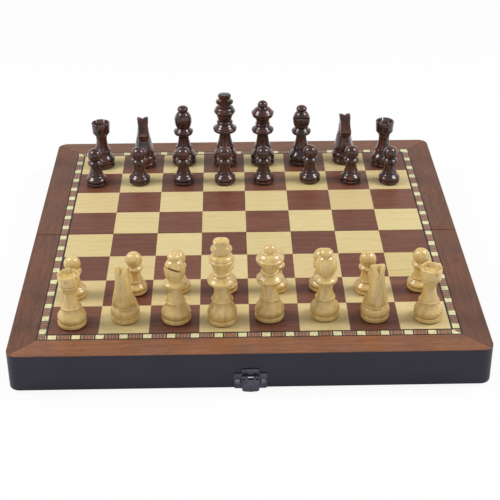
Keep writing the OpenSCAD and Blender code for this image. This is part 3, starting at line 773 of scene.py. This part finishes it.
knuckle_x = lever_w / 2 - 2.1
low, high = pivot_up - 1.5, pivot_up + 1.5
webs = []
for s in (-1, 1):
    near, far = s * knuckle_x, s * (lever_w / 2)
    webs.append(slab([(near, low), (far, low), (far, high), (near, high)], 0, pivot_out, 0.1, out))
clasp_plate = join(slab(plate_outline(tab_h), 0, plate_t, 0.25, out),
                   *clasp_side([(knuckle_x, lever_w / 2)], out), *webs)
fit(solid("clasp_plate_pressed", *clasp_plate), "lid", blackened_steel, "clasp_plate")

lip_t, lip_out = 0.7, 2.4
lip = slab(oblong(lever_w / 2 - 0.5, 0, lip_t), 0, lip_out, 0.15, back)
keeper_plate = join(slab(plate_outline(plate_h), 0, plate_t, 0.25, back), lip)
fit(solid("keeper_plate_pressed", *keeper_plate), "base", blackened_steel, "keeper_plate")
print("plates", plate_w, "mm wide")

# %% [markdown]
# ## Lever, pin and screws of the clasp
# The lever is a tongue with rounded lower corners. Two knuckles at its top turn on the pin, between
# those of the plate, with 0.2 mm of play. A finger presses its foot, and behind the foot stands the
# hook. The screws have low round heads, rubbed brighter than the plates.

# %% Clasp and keeper: lever, pin and screws
lever_in, play, foot_low, foot_r = 0.2, 0.2, -1.5, 2.2
shoulder, face_in = pivot_up - knuckle_r - play, pivot_out + lever_in
window_x, tab_x = 2.2, knuckle_x - play
lower = arc(lever_w / 2 - foot_r, foot_low + foot_r + 0.4, foot_r, -70, 0, 6)
lever_outline = [(0, foot_low)] + lower + [(lever_w / 2, shoulder), (tab_x, shoulder),
                                           (tab_x, pivot_up), (window_x, pivot_up), (window_x, shoulder)]
lever_outline += [(-x, y) for x, y in reversed(lever_outline[1:])]
hook = slab(oblong(lever_w / 2 - 2, foot_low, foot_low + lip_t), 1.4, face_in + 0.5, 0.1, out)
lever = join(slab(lever_outline, face_in, face_in + lever_t, 0.25, out, both=True), hook,
             *clasp_side([(window_x, tab_x)], out))
fit(solid("clasp_lever_pressed", *lever), "clasp", blackened_steel, "clasp_lever")
clasp_pin = rod(-lever_w / 2, lever_w / 2, clasp_pin_r, out, 0.2)
fit(solid("clasp_pin_peened", *clasp_pin), "lid", bright_steel, "clasp_pin")

round_head = [(0, -7), (1.1, -7), (1.1, 0), (2.3, 0), (2.4, 0.15), (2.25, 0.55), (1.8, 0.88),
              (1.1, 1.1), (0.5, 1.18), (0, 1.2)]
for name, body, place in (("clasp", "lid", out), ("keeper", "base", back)):
    items = []
    for x in (-ear_x, ear_x):
        items.append(screw(round_head, lambda a, b, c: place(x + a, plate_h / 2 + b, plate_t + c),
                           reach=1.35, deep=0.5, low=1.2))
    fit(gather(f"{name}_screws_crossed", items), body, rubbed_steel, f"{name}_screws")
print("lever", lever_w, "mm wide, pin", pivot_up, "mm above the rim")

# %% [markdown]
# ## Turned outlines
# A turner works with a few shapes over and over, and so do these outlines: a bead is a half round, a
# flare is the long hollow of a stem, a dome and an egg close a form, and a collar swells out to a
# thin edge and slopes back. Where a form runs through given points in one sweep, a cubic spline
# eases them. Every foot is alike, read from below: a ring, a groove cut with the corner of the
# gouge, a bell, and a fine ridge where the bell meets the stem.

# %% Turner's shapes
felt_t = 0.8


def bead(r, z, t, n=8):
    return arc(r - t / 2, z, t / 2, -90, 90, n)


def flare(r0, z0, r1, z1, n=12):
    return [(r1 + (r0 - r1) * (1 - i / n) ** 2, z0 + (z1 - z0) * i / n) for i in range(1, n + 1)]


def dome(r0, z0, r1, z1, n=8):
    turns = [math.radians(90 * i / n) for i in range(n + 1)]
    return [(r1 + (r0 - r1) * math.cos(t), z0 + (z1 - z0) * math.sin(t)) for t in turns]


def egg(r, z, c, a, b=90, n=16):
    turns = [math.radians(a + (b - a) * i / n) for i in range(n + 1)]
    return [(r * math.cos(t) if t < 1.57 else 0, z + c * math.sin(t)) for t in turns]


def collar(r0, z0, r, z, r1, z1, t=2.6, n=8):
    low, made = z - t / 2, []
    for i in range(n + 1):
        turn = math.radians(90 * i / n)
        made.append((r0 + (r - 0.15 * t - r0) * math.sin(turn), low - (low - z0) * math.cos(turn)))
    edge = arc(r - t / 2, z, t / 2, -30, 60, 6)
    (ra, za), n = edge[-1], 6
    slope = [(ra + (r1 - ra) * i / n, za + (z1 - za) * (i / n) ** 1.6) for i in range(1, n + 1)]
    return made + edge + slope


def between(p, q, r, s, t):
    bend = (2 * p - 5 * q + 4 * r - s) * t * t + (3 * q - p - 3 * r + s) * t ** 3
    return 0.5 * (2 * q + (r - p) * t + bend)


def eased(points, n=5):
    padded = [points[0]] + points + [points[-1]]
    made = [points[0]]
    for four in zip(padded, padded[1:], padded[2:], padded[3:]):
        for i in range(1, n + 1):
            made.append(tuple(between(*values, i / n) for values in zip(*four)))
    return made


def foot(r, groove_z, ridge_z, ridge_r, hem=0.9, deep=1.4):
    ring = [(0, felt_t), (r - hem, felt_t)] + arc(r - hem, felt_t + hem, hem, -70, 0, 5)
    ring += [(r, groove_z - 0.8), (r - 0.3, groove_z - 0.4)]
    ring += [(r - deep, groove_z - 0.15), (r - deep, groove_z + 0.15)]
    tall, drop = ridge_z - groove_z, r - ridge_r + 0.7
    bell = [(0.05, r - 0.5), (0.12, r - 0.15), (0.24, r), (0.38, r - 0.4), (0.52, r - 0.37 * drop),
            (0.65, r - 0.69 * drop), (0.78, r - 0.92 * drop), (0.92, r - drop)]
    bell = eased([(a, groove_z + tall * share) for share, a in bell], 3)
    return ring + bell + bead(ridge_r, ridge_z, 1.6)


print("a pawn's foot:", len(foot(10, 4, 11.4, 6.8)), "points")

# %% [markdown]
# ## Outlines of the men
# All men of one kind share an outline, a list of radius and height in millimetres above the board,
# read from the foot up. Heights near the top are counted down from the height of the man, as on a
# turner's template, so that a head keeps its form when a stem gets longer.

# %% Outlines of the men
height = {"pawn": 37.2, "rook": 46.2, "knight": 49.5, "bishop": 61.0, "queen": 66.5, "king": 73.5}


def pawn_outline(h):
    return (foot(10, 4, 11.4, 6.8) + flare(6, 12.3, 4.9, h - 16.9)
            + collar(5.1, h - 16.7, 7.3, h - 14, 5.3, h - 11.9, 2.2) + egg(6.85, h - 6.85, 6.85, -43))


def rook_outline(h):
    turret = eased([(5.1, h - 16.6), (5.2, h - 15.2), (5.8, h - 13.4), (6.9, h - 11.7), (8.1, h - 10.3)])
    lip = [(8.3, h - 9.9), (8.3, h - 9.3), (8.1, h - 8.9), (7.2, h - 8.8), (7.2, h - 8.4),
           (8.4, h - 8.2)]
    wall = [(8.5, h - 6), (8.72, h - 0.3), (8.55, h - 0.05), (8.4, h), (7.4, h)]
    well = [(7.2, h - 0.1), (7.1, h - 0.3), (6.6, h - 3), (6.2, h - 3.5), (5.6, h - 3.7), (3, h - 4),
            (0, h - 4.1)]
    return foot(11.6, 4.8, 17, 8.3) + flare(7.5, 18, 5.1, h - 16.6) + turret[1:] + lip + wall + well


def bishop_outline(h):
    return (foot(11.8, 5, 17.8, 8.1) + flare(7.3, 18.8, 4.9, h - 30.2)
            + collar(5.2, h - 30, 9.5, h - 26.6, 6.2, h - 23.1, 2.4) + egg(8.4, h - 15.2, 10.8, -45, 51)
            + [(4.6, h - 6.4), (4.2, h - 6), (4.2, h - 5.7)] + egg(5.3, h - 3.4, 3.4, -37))


def queen_outline(h):
    tier = eased([(9.4, h - 28.3), (8.3, h - 27.4), (7.1, h - 26.3), (6.6, h - 25.5)])
    neck = eased([(6.2, h - 22.4), (6.4, h - 20.8), (6.9, h - 18)])
    crown = eased([(9.9, h - 11.1), (8.6, h - 9.4), (6.8, h - 7.8), (4.9, h - 6.9)])
    return (foot(11.8, 5, 19, 8.3) + flare(7.5, 20, 5.4, h - 33.3)
            + collar(5.7, h - 33.1, 10.8, h - 30, 9.6, h - 28.7, 2.2) + tier + bead(7.2, h - 23.9, 2.4)
            + neck + collar(7.4, h - 16.9, 10.9, h - 12.2, 10, h - 11.2, 1.4) + crown
            + [(4.4, h - 6.3), (4.4, h - 6.1)] + egg(5, h - 4.3, 4.3, -28))


def king_outline(h):
    neck = eased([(6.5, h - 26.9), (6.6, h - 25.8), (7, h - 24.4), (7.5, h - 22.5), (8.4, h - 20.5),
                  (9.4, h - 18.8)])
    knob = eased([(6.1, h - 5.7), (5.2, h - 4.5), (5.6, h - 3.5), (6.3, h - 2.7), (6.4, h - 1.3),
                  (5.8, h - 0.3), (4.6, h)])
    return (foot(11.8, 5, 20.6, 8.7) + flare(7.9, 21.6, 5.3, h - 38.8)
            + collar(5.6, h - 38.6, 11.6, h - 35.5, 7.6, h - 31, 2.8) + [(6.8, h - 30.5)]
            + bead(7.85, h - 28.7, 2.6) + neck + bead(10.35, h - 17.2, 2.6)
            + dome(9.4, h - 15.7, 5.3, h - 12.2) + [(5.1, h - 11.3), (6, h - 9.8)]
            + bead(8.5, h - 7.6, 2.8) + knob + [(0, h)])


outlines = {"pawn": pawn_outline, "rook": rook_outline, "bishop": bishop_outline,
            "queen": queen_outline, "king": king_outline}
print("points in each outline:", {kind: len(make(height[kind])) for kind, make in outlines.items()})

# %% [markdown]
# ## Saw cuts in the officers
# After turning, some officers go to the saw. A rook gets three cuts across its rim, which make six
# notches. A bishop gets one slanting cut, which ends in a small hole drilled across its mitre. The
# king's finial is sawn flat at front and back, so that only its sides keep the turned outline.

# %% Saw cuts
saw_w, saw_deep, reach = 1.2, 3.4, 12
flat_y, flat_low = 4.4, 12.2
slit_w, slit_tilt, slit_x, hole_r = 1.5, 29, 2, 1.1


def spun(points, turn, x, y):
    c, s = math.cos(math.radians(turn)), math.sin(math.radians(turn))
    return [(x + a * c - b * s, y + a * s + b * c, top + z) for a, b, z in points]


def saw_cuts(kind, turn, x, y):
    h, over = height[kind], 1
    if kind == "rook":
        points, faces = block((-reach, -saw_w / 2, h - saw_deep), (reach, saw_w / 2, h + over))
        return [solid("cut", spun(points, turn + a, x, y), faces) for a in (0, 60, 120)]
    if kind == "king":
        blades = [block((-reach, flat_y, h - flat_low), (reach, reach + over, h + over)),
                  block((-reach, -reach - over, h - flat_low), (reach, -flat_y, h + over))]
        return [solid("cut", spun(points, 0, x, y), faces) for points, faces in blades]
    if kind == "bishop":
        c, s = math.cos(math.radians(slit_tilt)), math.sin(math.radians(slit_tilt))
        points, faces = block((0, -reach, -slit_w / 2), (reach, reach, slit_w / 2))
        slit = [(a * c - z * s + slit_x, b, h - 13.2 + a * s + z * c) for a, b, z in points]
        drill = [(0, -reach), (hole_r, -reach), (hole_r, reach), (0, reach)]
        hole = turned(drill, lambda a, b, z: (a + slit_x, z, h - 12.6 + b), 24)
        return [solid("cut", spun(points, turn, x, y), faces) for points, faces in ((slit, faces), hole)]
    return []


print("saw cuts:", saw_w, "mm wide in a rook,", slit_w, "mm in a bishop")

# %% [markdown]
# ## Knights
# A knight's head is carved from flat planes above a turned foot. The carver saws the side outline,
# then narrows the head from the front, and last cuts mane, eye, nostril, mouth and the notch between
# the ears. The mesh follows that: level rings of points, each as deep as the side outline and as
# wide as the front outline at its height, with the cuts pressed in afterwards.

# %% Knight: its outlines by height
carve_z, ear_z = 14.3, 49.5
knight_rows = [
    # height, back, front, then half widths: back plane, neck, waist of the cheek, muzzle, front plane
    (14.3, -9.8, 9.8, 5.3, 9.0, 7.6, 5.8, 3.6), (17.0, -9.4, 9.3, 6.4, 9.0, 7.8, 6.0, 3.6),
    (20.0, -9.1, 8.5, 6.1, 8.4, 7.2, 5.4, 3.5), (23.0, -8.9, 7.2, 5.7, 7.8, 6.5, 4.8, 3.3),
    (25.5, -8.8, 5.9, 5.3, 7.3, 6.0, 4.4, 3.1), (27.3, -8.7, 5.0, 5.1, 6.9, 5.6, 4.1, 2.9),
    (28.3, -8.6, 5.1, 4.9, 6.7, 5.4, 3.9, 2.7), (28.9, -8.6, 6.4, 4.9, 6.6, 5.2, 3.8, 2.5),
    (29.6, -8.5, 8.2, 4.8, 6.4, 4.9, 4.5, 3.3), (30.6, -8.5, 9.2, 4.6, 6.2, 4.6, 5.1, 4.1),
    (31.5, -8.4, 9.0, 4.6, 6.1, 4.5, 5.3, 4.4), (32.4, -8.4, 9.5, 4.5, 6.0, 4.5, 5.5, 4.6),
    (34.2, -8.3, 9.8, 4.3, 5.8, 4.5, 5.6, 4.7), (36.2, -8.1, 9.2, 4.1, 5.6, 4.5, 5.4, 4.5),
    (38.6, -7.9, 7.7, 3.9, 5.3, 4.5, 5.0, 4.2), (41.0, -7.6, 6.0, 3.6, 5.0, 4.5, 4.7, 4.0),
    (43.4, -7.2, 4.5, 3.6, 5.0, 4.8, 4.8, 4.2), (45.0, -6.8, 3.3, 4.0, 5.1, 5.0, 5.0, 4.5),
    (46.4, -6.3, 2.2, 4.2, 5.3, 5.2, 5.2, 4.7), (48.0, -5.5, 1.1, 4.4, 5.5, 5.4, 5.3, 4.9),
    (49.5, -4.2, -0.8, 4.5, 5.5, 5.5, 5.4, 5.2)]


def at_height(z):
    for a, b in zip(knight_rows, knight_rows[1:]):
        if z <= b[0]:
            t = max(0, (z - a[0]) / (b[0] - a[0]))
            return [p + (q - p) * t for p, q in zip(a, b)]
    return knight_rows[-1]


print("knight rows:", len(knight_rows))

# %% [markdown]
# ## A knight's rings
# At any height the outline of the head is a many-sided figure, alike on both sides: a flat back
# plane, the neck, the cheek and a flat front plane. Its corners come from the rows above and points
# are set along it, always the same number, so that the rings can be joined. Just above the foot the
# ring is drawn out to a circle, where the carving runs out into the turned wood.

# %% Knight: level rings of points
across, along = 12, 28
fade_h, neck_r = 5.5, 9.8


def knight_ring(z):
    _, back, front, plane, neck, waist, muzzle, face = at_height(z)
    depth = front - back
    corners = [(plane, back), (neck, back + 0.22 * depth), (neck * 0.99, back + 0.45 * depth),
               (waist, back + 0.68 * depth), (muzzle, front - 0.1 * depth), (face, front)]
    side = []
    for k in range(along + 1):
        y = back + depth * k / along
        (xa, ya), (xb, yb) = next(pair for pair in zip(corners, corners[1:]) if y <= pair[1][1] + 1e-6)
        side.append((xa + (xb - xa) * (y - ya) / (yb - ya), y))
    rear = [(-plane + 2 * plane * k / across, back) for k in range(1, across)]
    fore = [(face - 2 * face * k / across, front) for k in range(1, across)]
    ring = rear + side + fore + [(-x, y) for x, y in reversed(side)]
    after = ring[1:] + ring[:1]
    soft = [tuple((a + 2 * b + c) / 4 for a, b, c in zip(ring[i - 1], p, after[i]))
            for i, p in enumerate(ring)]
    carved = min(1, max(0, (z - carve_z) / fade_h))
    carved = carved * carved * (3 - 2 * carved)
    pulls = [1 + (1 - carved) * (neck_r / math.hypot(x, y) - 1) for x, y in soft]
    return [(x * pull, y * pull) for (x, y), pull in zip(soft, pulls)]


print("points in a knight's ring:", len(knight_ring(30)))

# %% [markdown]
# ## A knight's cuts
# Each cut is a small function of the place on the head. The mane is a row of slanting grooves behind
# the neck, the eye a pit with a low ring round it, and nostril, jaw and mouth are shallow dips. The
# notch between the ears is a sloping V that lowers every point that stands above it. Moving points
# instead of cutting keeps the mesh whole, so that the light runs smoothly over the carving.

# %% Knight: the carver's cuts
def notch(x, y, z):
    floor = 43.4 + 0.6 * (y + 6.5) + 3 * max(0, y + 3.8) + 1.65 * abs(x)
    tip = ear_z - 0.5 * max(0, abs(x) - 4.5) ** 2 - max(0, 1 - abs(x) / 1.6)
    return min(z, floor, tip)


def carve(x, y, z):
    size = abs(x)
    if z > 19 and size > 3.0:
        back, mane, lock = y - at_height(z)[1], 3.2, 3.6
        if back < mane and z < 45:
            groove = max(0, math.sin((z - 0.8 * y) * math.tau / lock)) ** 3
            size -= 0.35 * groove * min(1, max(0, back - 0.5)) * min(1, mane - back)
        eye = math.hypot((y - 2.6) / 1.2, (z - 40.6) / 0.85)
        size -= 0.8 * max(0, 1 - eye) - 0.3 * max(0, 1 - abs(eye - 1.4) / 0.45)
        size -= 0.7 * max(0, 1 - math.hypot((y - 8.0) / 0.9, (z - 34.4) / 0.7))
        jaw = math.hypot(y - 0.4, (z - 34.0) * 0.95)
        size -= 0.45 * max(0, 1 - abs(jaw - 5.0) / 0.7) * (1 if z < 35.5 and y > -3.5 else 0)
        if y > 5.4:
            size -= 0.6 * max(0, 1 - abs(z - 31.5) / 0.5)
    return math.copysign(size, x), y, notch(x, y, z)


def knight_head(turn, x, y, z_step=0.55):
    count = round((ear_z - carve_z) / z_step)
    levels = [carve_z + (ear_z - carve_z) * k / count for k in range(count + 1)]
    loops = [[carve(a, b, z) for a, b in knight_ring(z)] for z in levels]
    points, faces = loft(loops)
    faces = faces[:-1]
    last, ring = len(points) - len(loops[0]), loops[-1]
    left = [last + (len(ring) - 1 - k) for k in range(along + 1)]
    grid = [[left[0]] + [last + k for k in range(across - 1)] + [last + across - 1]]
    for j in range(1, along):
        (xa, yb, _), row = points[left[j]], [left[j]]
        for k in range(1, across):
            a = xa - 2 * xa * k / across
            points.append((a, yb, notch(a, yb, ear_z)))
            row.append(len(points) - 1)
        grid.append(row + [last + across - 1 + j])
    fore = last + across - 1 + along
    grid.append([left[along]] + [fore + across - k for k in range(1, across)] + [fore])
    faces += [[a[k], a[k + 1], b[k + 1], b[k]] for a, b in zip(grid, grid[1:]) for k in range(across)]
    return spun(points, turn, x, y), faces


print("points in a knight's head:", len(knight_head(0, 0, 0)[0]))

# %% [markdown]
# ## A knight's foot
# The foot is turned like the others, but squat, with a bead on top that the carver leaves as a
# pedestal. Head and foot overlap a little and stay two closed shells of one mesh.

# %% Knight: turned foot, and the whole man
knight_foot = [(0, felt_t), (11, felt_t), (11.3, felt_t + 0.5), (11.3, 4.1), (11.1, 4.5), (10.7, 4.8),
               (10.7, 5.1), (11.2, 5.6), (11.5, 6.4), (11.6, 7.4), (11.55, 8.6), (11.4, 9.7),
               (11.05, 10.8), (10.6, 11.5), (10.0, 12.0), (9.5, 12.3), (9.4, 12.6), (9.9, 12.9),
               (10.2, 13.3), (10.1, 13.8), (9.6, 14.1), (9.4, 14.4), (0, 14.6)]


def knight(name, turn, x, y):
    low = turned(knight_foot, lambda a, b, z: (x + a, y + b, top + z))
    made = solid(name, *join(low, knight_head(turn, x, y)))
    clean(made.data, weld_mm=0.01)
    return made


print("knight foot points:", len(knight_foot))

# %% [markdown]
# ## Setting out the men
# The men stand as the set stands ready for play, though nobody centres them exactly: each has its
# own small offset from the middle of its square, and each officer is turned its own way. The felt
# disc is a separate piece, 1 mm smaller than the foot all round and glued under it.

# %% Places of the men
back_rank = ["rook", "knight", "bishop", "king", "queen", "bishop", "knight", "rook"]
pawns, pawn_turns = ["pawn"] * 8, [0] * 8
ranks = {
    ("white", 1): (back_rank, [20, -12, 226, 0, 0, 90, 8, 50], [
        (-1.7, -4.8), (0.3, 1.8), (1.3, -0.5), (-1.5, -3), (-3.5, 1), (1, 2.5), (1.1, -1.3), (3.7, -3)]),
    ("white", 2): (pawns, pawn_turns, [
        (-4.2, -2.5), (5.7, 2.5), (1.5, 4.5), (1, 3), (3, 3.5), (0.9, 4), (-1.5, -1.5), (2.8, 2)]),
    ("black", 7): (pawns, pawn_turns, [
        (-3.4, -1), (-1.7, 1), (1, 0), (1, -0.5), (-1.5, -0.5), (3.5, 0.5), (3.2, -1.5), (0.3, -4)]),
    ("black", 8): (back_rank, [10, 186, 120, 0, 0, 268, 184, 40], [
        (-0.3, -1), (1, 0), (0.5, 3), (1.5, 1), (-1.2, 0.8), (-3, 1), (0.1, 2.5), (-1.4, -5)]),
}
pawn_foot_r, officer_foot_r, felt_in = 10, 11.6, 1


def felt_disc(name, r, x, y):
    high, soft = felt_t - glue, 0.15
    outline = [(0, 0), (r - soft, 0), (r, soft), (r, high - soft), (r - soft, high), (0, high)]
    return solid(name, *turned(outline, lambda a, b, z: (x + a, y + b, top + z), 48))


for (side, rank), (kinds, turns, offsets) in ranks.items():
    slot, finish = ("light_wood", hornbeam) if side == "white" else ("dark_wood", stained_hornbeam)
    for i, kind in enumerate(kinds):
        node = f"{side}_{kind}_{'abcdefgh'[i]}{rank}"
        x, y = (i - 3.5) * square + offsets[i][0], (rank - 4.5) * square + offsets[i][1]
        if kind == "knight":
            man = knight(node + "_carved", turns[i], x, y)
        else:
            shape = turned(outlines[kind](height[kind]), lambda a, b, z: (x + a, y + b, top + z))
            man = cut_away(solid(node + "_turned", *shape), saw_cuts(kind, turns[i], x, y))
        fit(man, node, finish, node, 38)
        disc_r = (pawn_foot_r if kind == "pawn" else officer_foot_r) - felt_in
        fit(felt_disc(node + "_felt", disc_r, x, y), node, felt, node)
    print(side, "rank", rank, "set out")

# %% [markdown]
# ## Camera
# The camera stands a metre in front of the board and a little left of its middle, and looks down at
# 30 degrees through a long lens. Its place and lens were worked out from the corners of the squares
# in the photograph, so the board's outline falls where it does there.

# %% Camera
lens = bpy.data.cameras.new("long_lens")
lens.lens, lens.sensor_width, lens.clip_end = 89.07, 36.0, 50.0
camera = bpy.data.objects.new("camera", lens)
camera.location = (-0.01324, -0.96371, 0.58037)
down, aside, roll = math.radians(30.379), math.radians(0.98), math.radians(-0.2972)
camera.rotation_mode = "QUATERNION"
look = Vector((math.sin(aside) * math.cos(down), math.cos(aside) * math.cos(down), -math.sin(down)))
camera.rotation_quaternion = look.to_track_quat("-Z", "Y")
camera.rotation_quaternion = camera.rotation_quaternion @ Quaternion((0, 0, 1), roll)
bpy.context.scene.collection.objects.link(camera)
bpy.context.scene.camera = camera
print("camera", round(camera.location.length, 3), "m from the middle of the board")

# %% [markdown]
# ## Floor and light
# The set is photographed on white. Two softboxes hang to the left and right of the board, almost a
# metre up, and leave a pair of soft reflections on every turned form. White walls fill the rest, and
# a third, weaker lamp stands for the light that comes back from the photographer's side. The floor
# and the room look white to the camera and to reflections through the Light Path node, which adds no
# light to the object. The floor keeps a little of its own shading, and with it the object's shadow.

# %% Floor and light
scene = bpy.context.scene
scene.view_settings.view_transform = "Standard"
floor_x, floor_t, whitened, mirrored = 6000, 20, 0.92, 0.4


def studio_floor():
    finish = bpy.data.materials.new("white_paper_floor")
    finish.use_nodes = True
    tree = finish.node_tree
    tree.nodes.clear()
    paper = add(tree, "BsdfDiffuse", {"Color": linear("#f1f1f0")})
    bright = add(tree, "Emission", {"Color": linear("#ffffff"), "Strength": 1.0})
    path = add(tree, "LightPath")
    shine = add(tree, "Math", {0: path.outputs["Is Glossy Ray"], 1: mirrored}, operation="MULTIPLY")
    seen = add(tree, "Math", {0: path.outputs["Is Camera Ray"], 1: shine}, operation="MAXIMUM")
    share = add(tree, "Math", {0: seen, 1: whitened}, operation="MULTIPLY")
    both = add(tree, "MixShader", {0: share, 1: paper, 2: bright})
    add(tree, "OutputMaterial", {"Surface": both})
    made = solid("floor", *block((-floor_x, -floor_x, -floor_t), (floor_x, floor_x, 0)))
    made.data.materials.append(finish)
    return made


def softbox(name, place, size, power, aim=(0, 0, 0.05)):
    lamp = bpy.data.lights.new(name, "AREA")
    lamp.shape, lamp.size, lamp.energy = "SQUARE", size, power
    made = bpy.data.objects.new(name, lamp)
    made.location = place
    made.rotation_euler = (Vector(aim) - Vector(place)).to_track_quat("-Z", "Y").to_euler()
    scene.collection.objects.link(made)
    return made


studio_floor()
softbox("softbox_left", (-0.8, 0.0, 0.9), 0.45, 7.0)
softbox("softbox_right", (0.8, 0.0, 0.9), 0.45, 7.0)
softbox("fill_front", (0.0, -2.2, 0.9), 1.2, 2.5)

# %% [markdown]
# ## White room
# The room lights the object evenly, with less than half of full white. Reflections see walls that
# are nearly white and a ceiling that is only as bright as the room's light, so that the varnish
# doesn't go milky on top and the lamps stand out. The camera sees plain white.

# %% White room
room_light = 0.45
walls_end, ceiling_from, wall_white, ceiling_white = 0.35, 0.6, 0.9, 0.1


def white_room():
    made = bpy.data.worlds.new("white_room")
    made.use_nodes = True
    tree = made.node_tree
    tree.nodes.clear()
    path = add(tree, "LightPath")
    up = add(tree, "SeparateXYZ", {0: add(tree, "TexCoord").outputs["Generated"]}).outputs["Z"]
    wall = add(tree, "MapRange", {"Value": up, "From Min": walls_end, "From Max": ceiling_from,
                                  "To Min": wall_white, "To Max": ceiling_white})
    shine = add(tree, "Math", {0: path.outputs["Is Glossy Ray"], 1: wall}, operation="MULTIPLY")
    seen = add(tree, "Math", {0: path.outputs["Is Camera Ray"], 1: path.outputs["Is Transmission Ray"]},
               operation="MAXIMUM")
    seen = add(tree, "Math", {0: seen, 1: shine}, operation="MAXIMUM")
    power = add(tree, "Math", {0: seen, 1: room_light}, operation="MAXIMUM")
    light = add(tree, "Background", {"Color": linear("#ffffff"), "Strength": power})
    add(tree, "OutputWorld", {"Surface": light})
    return made


scene.world = white_room()
print("room light:", room_light)
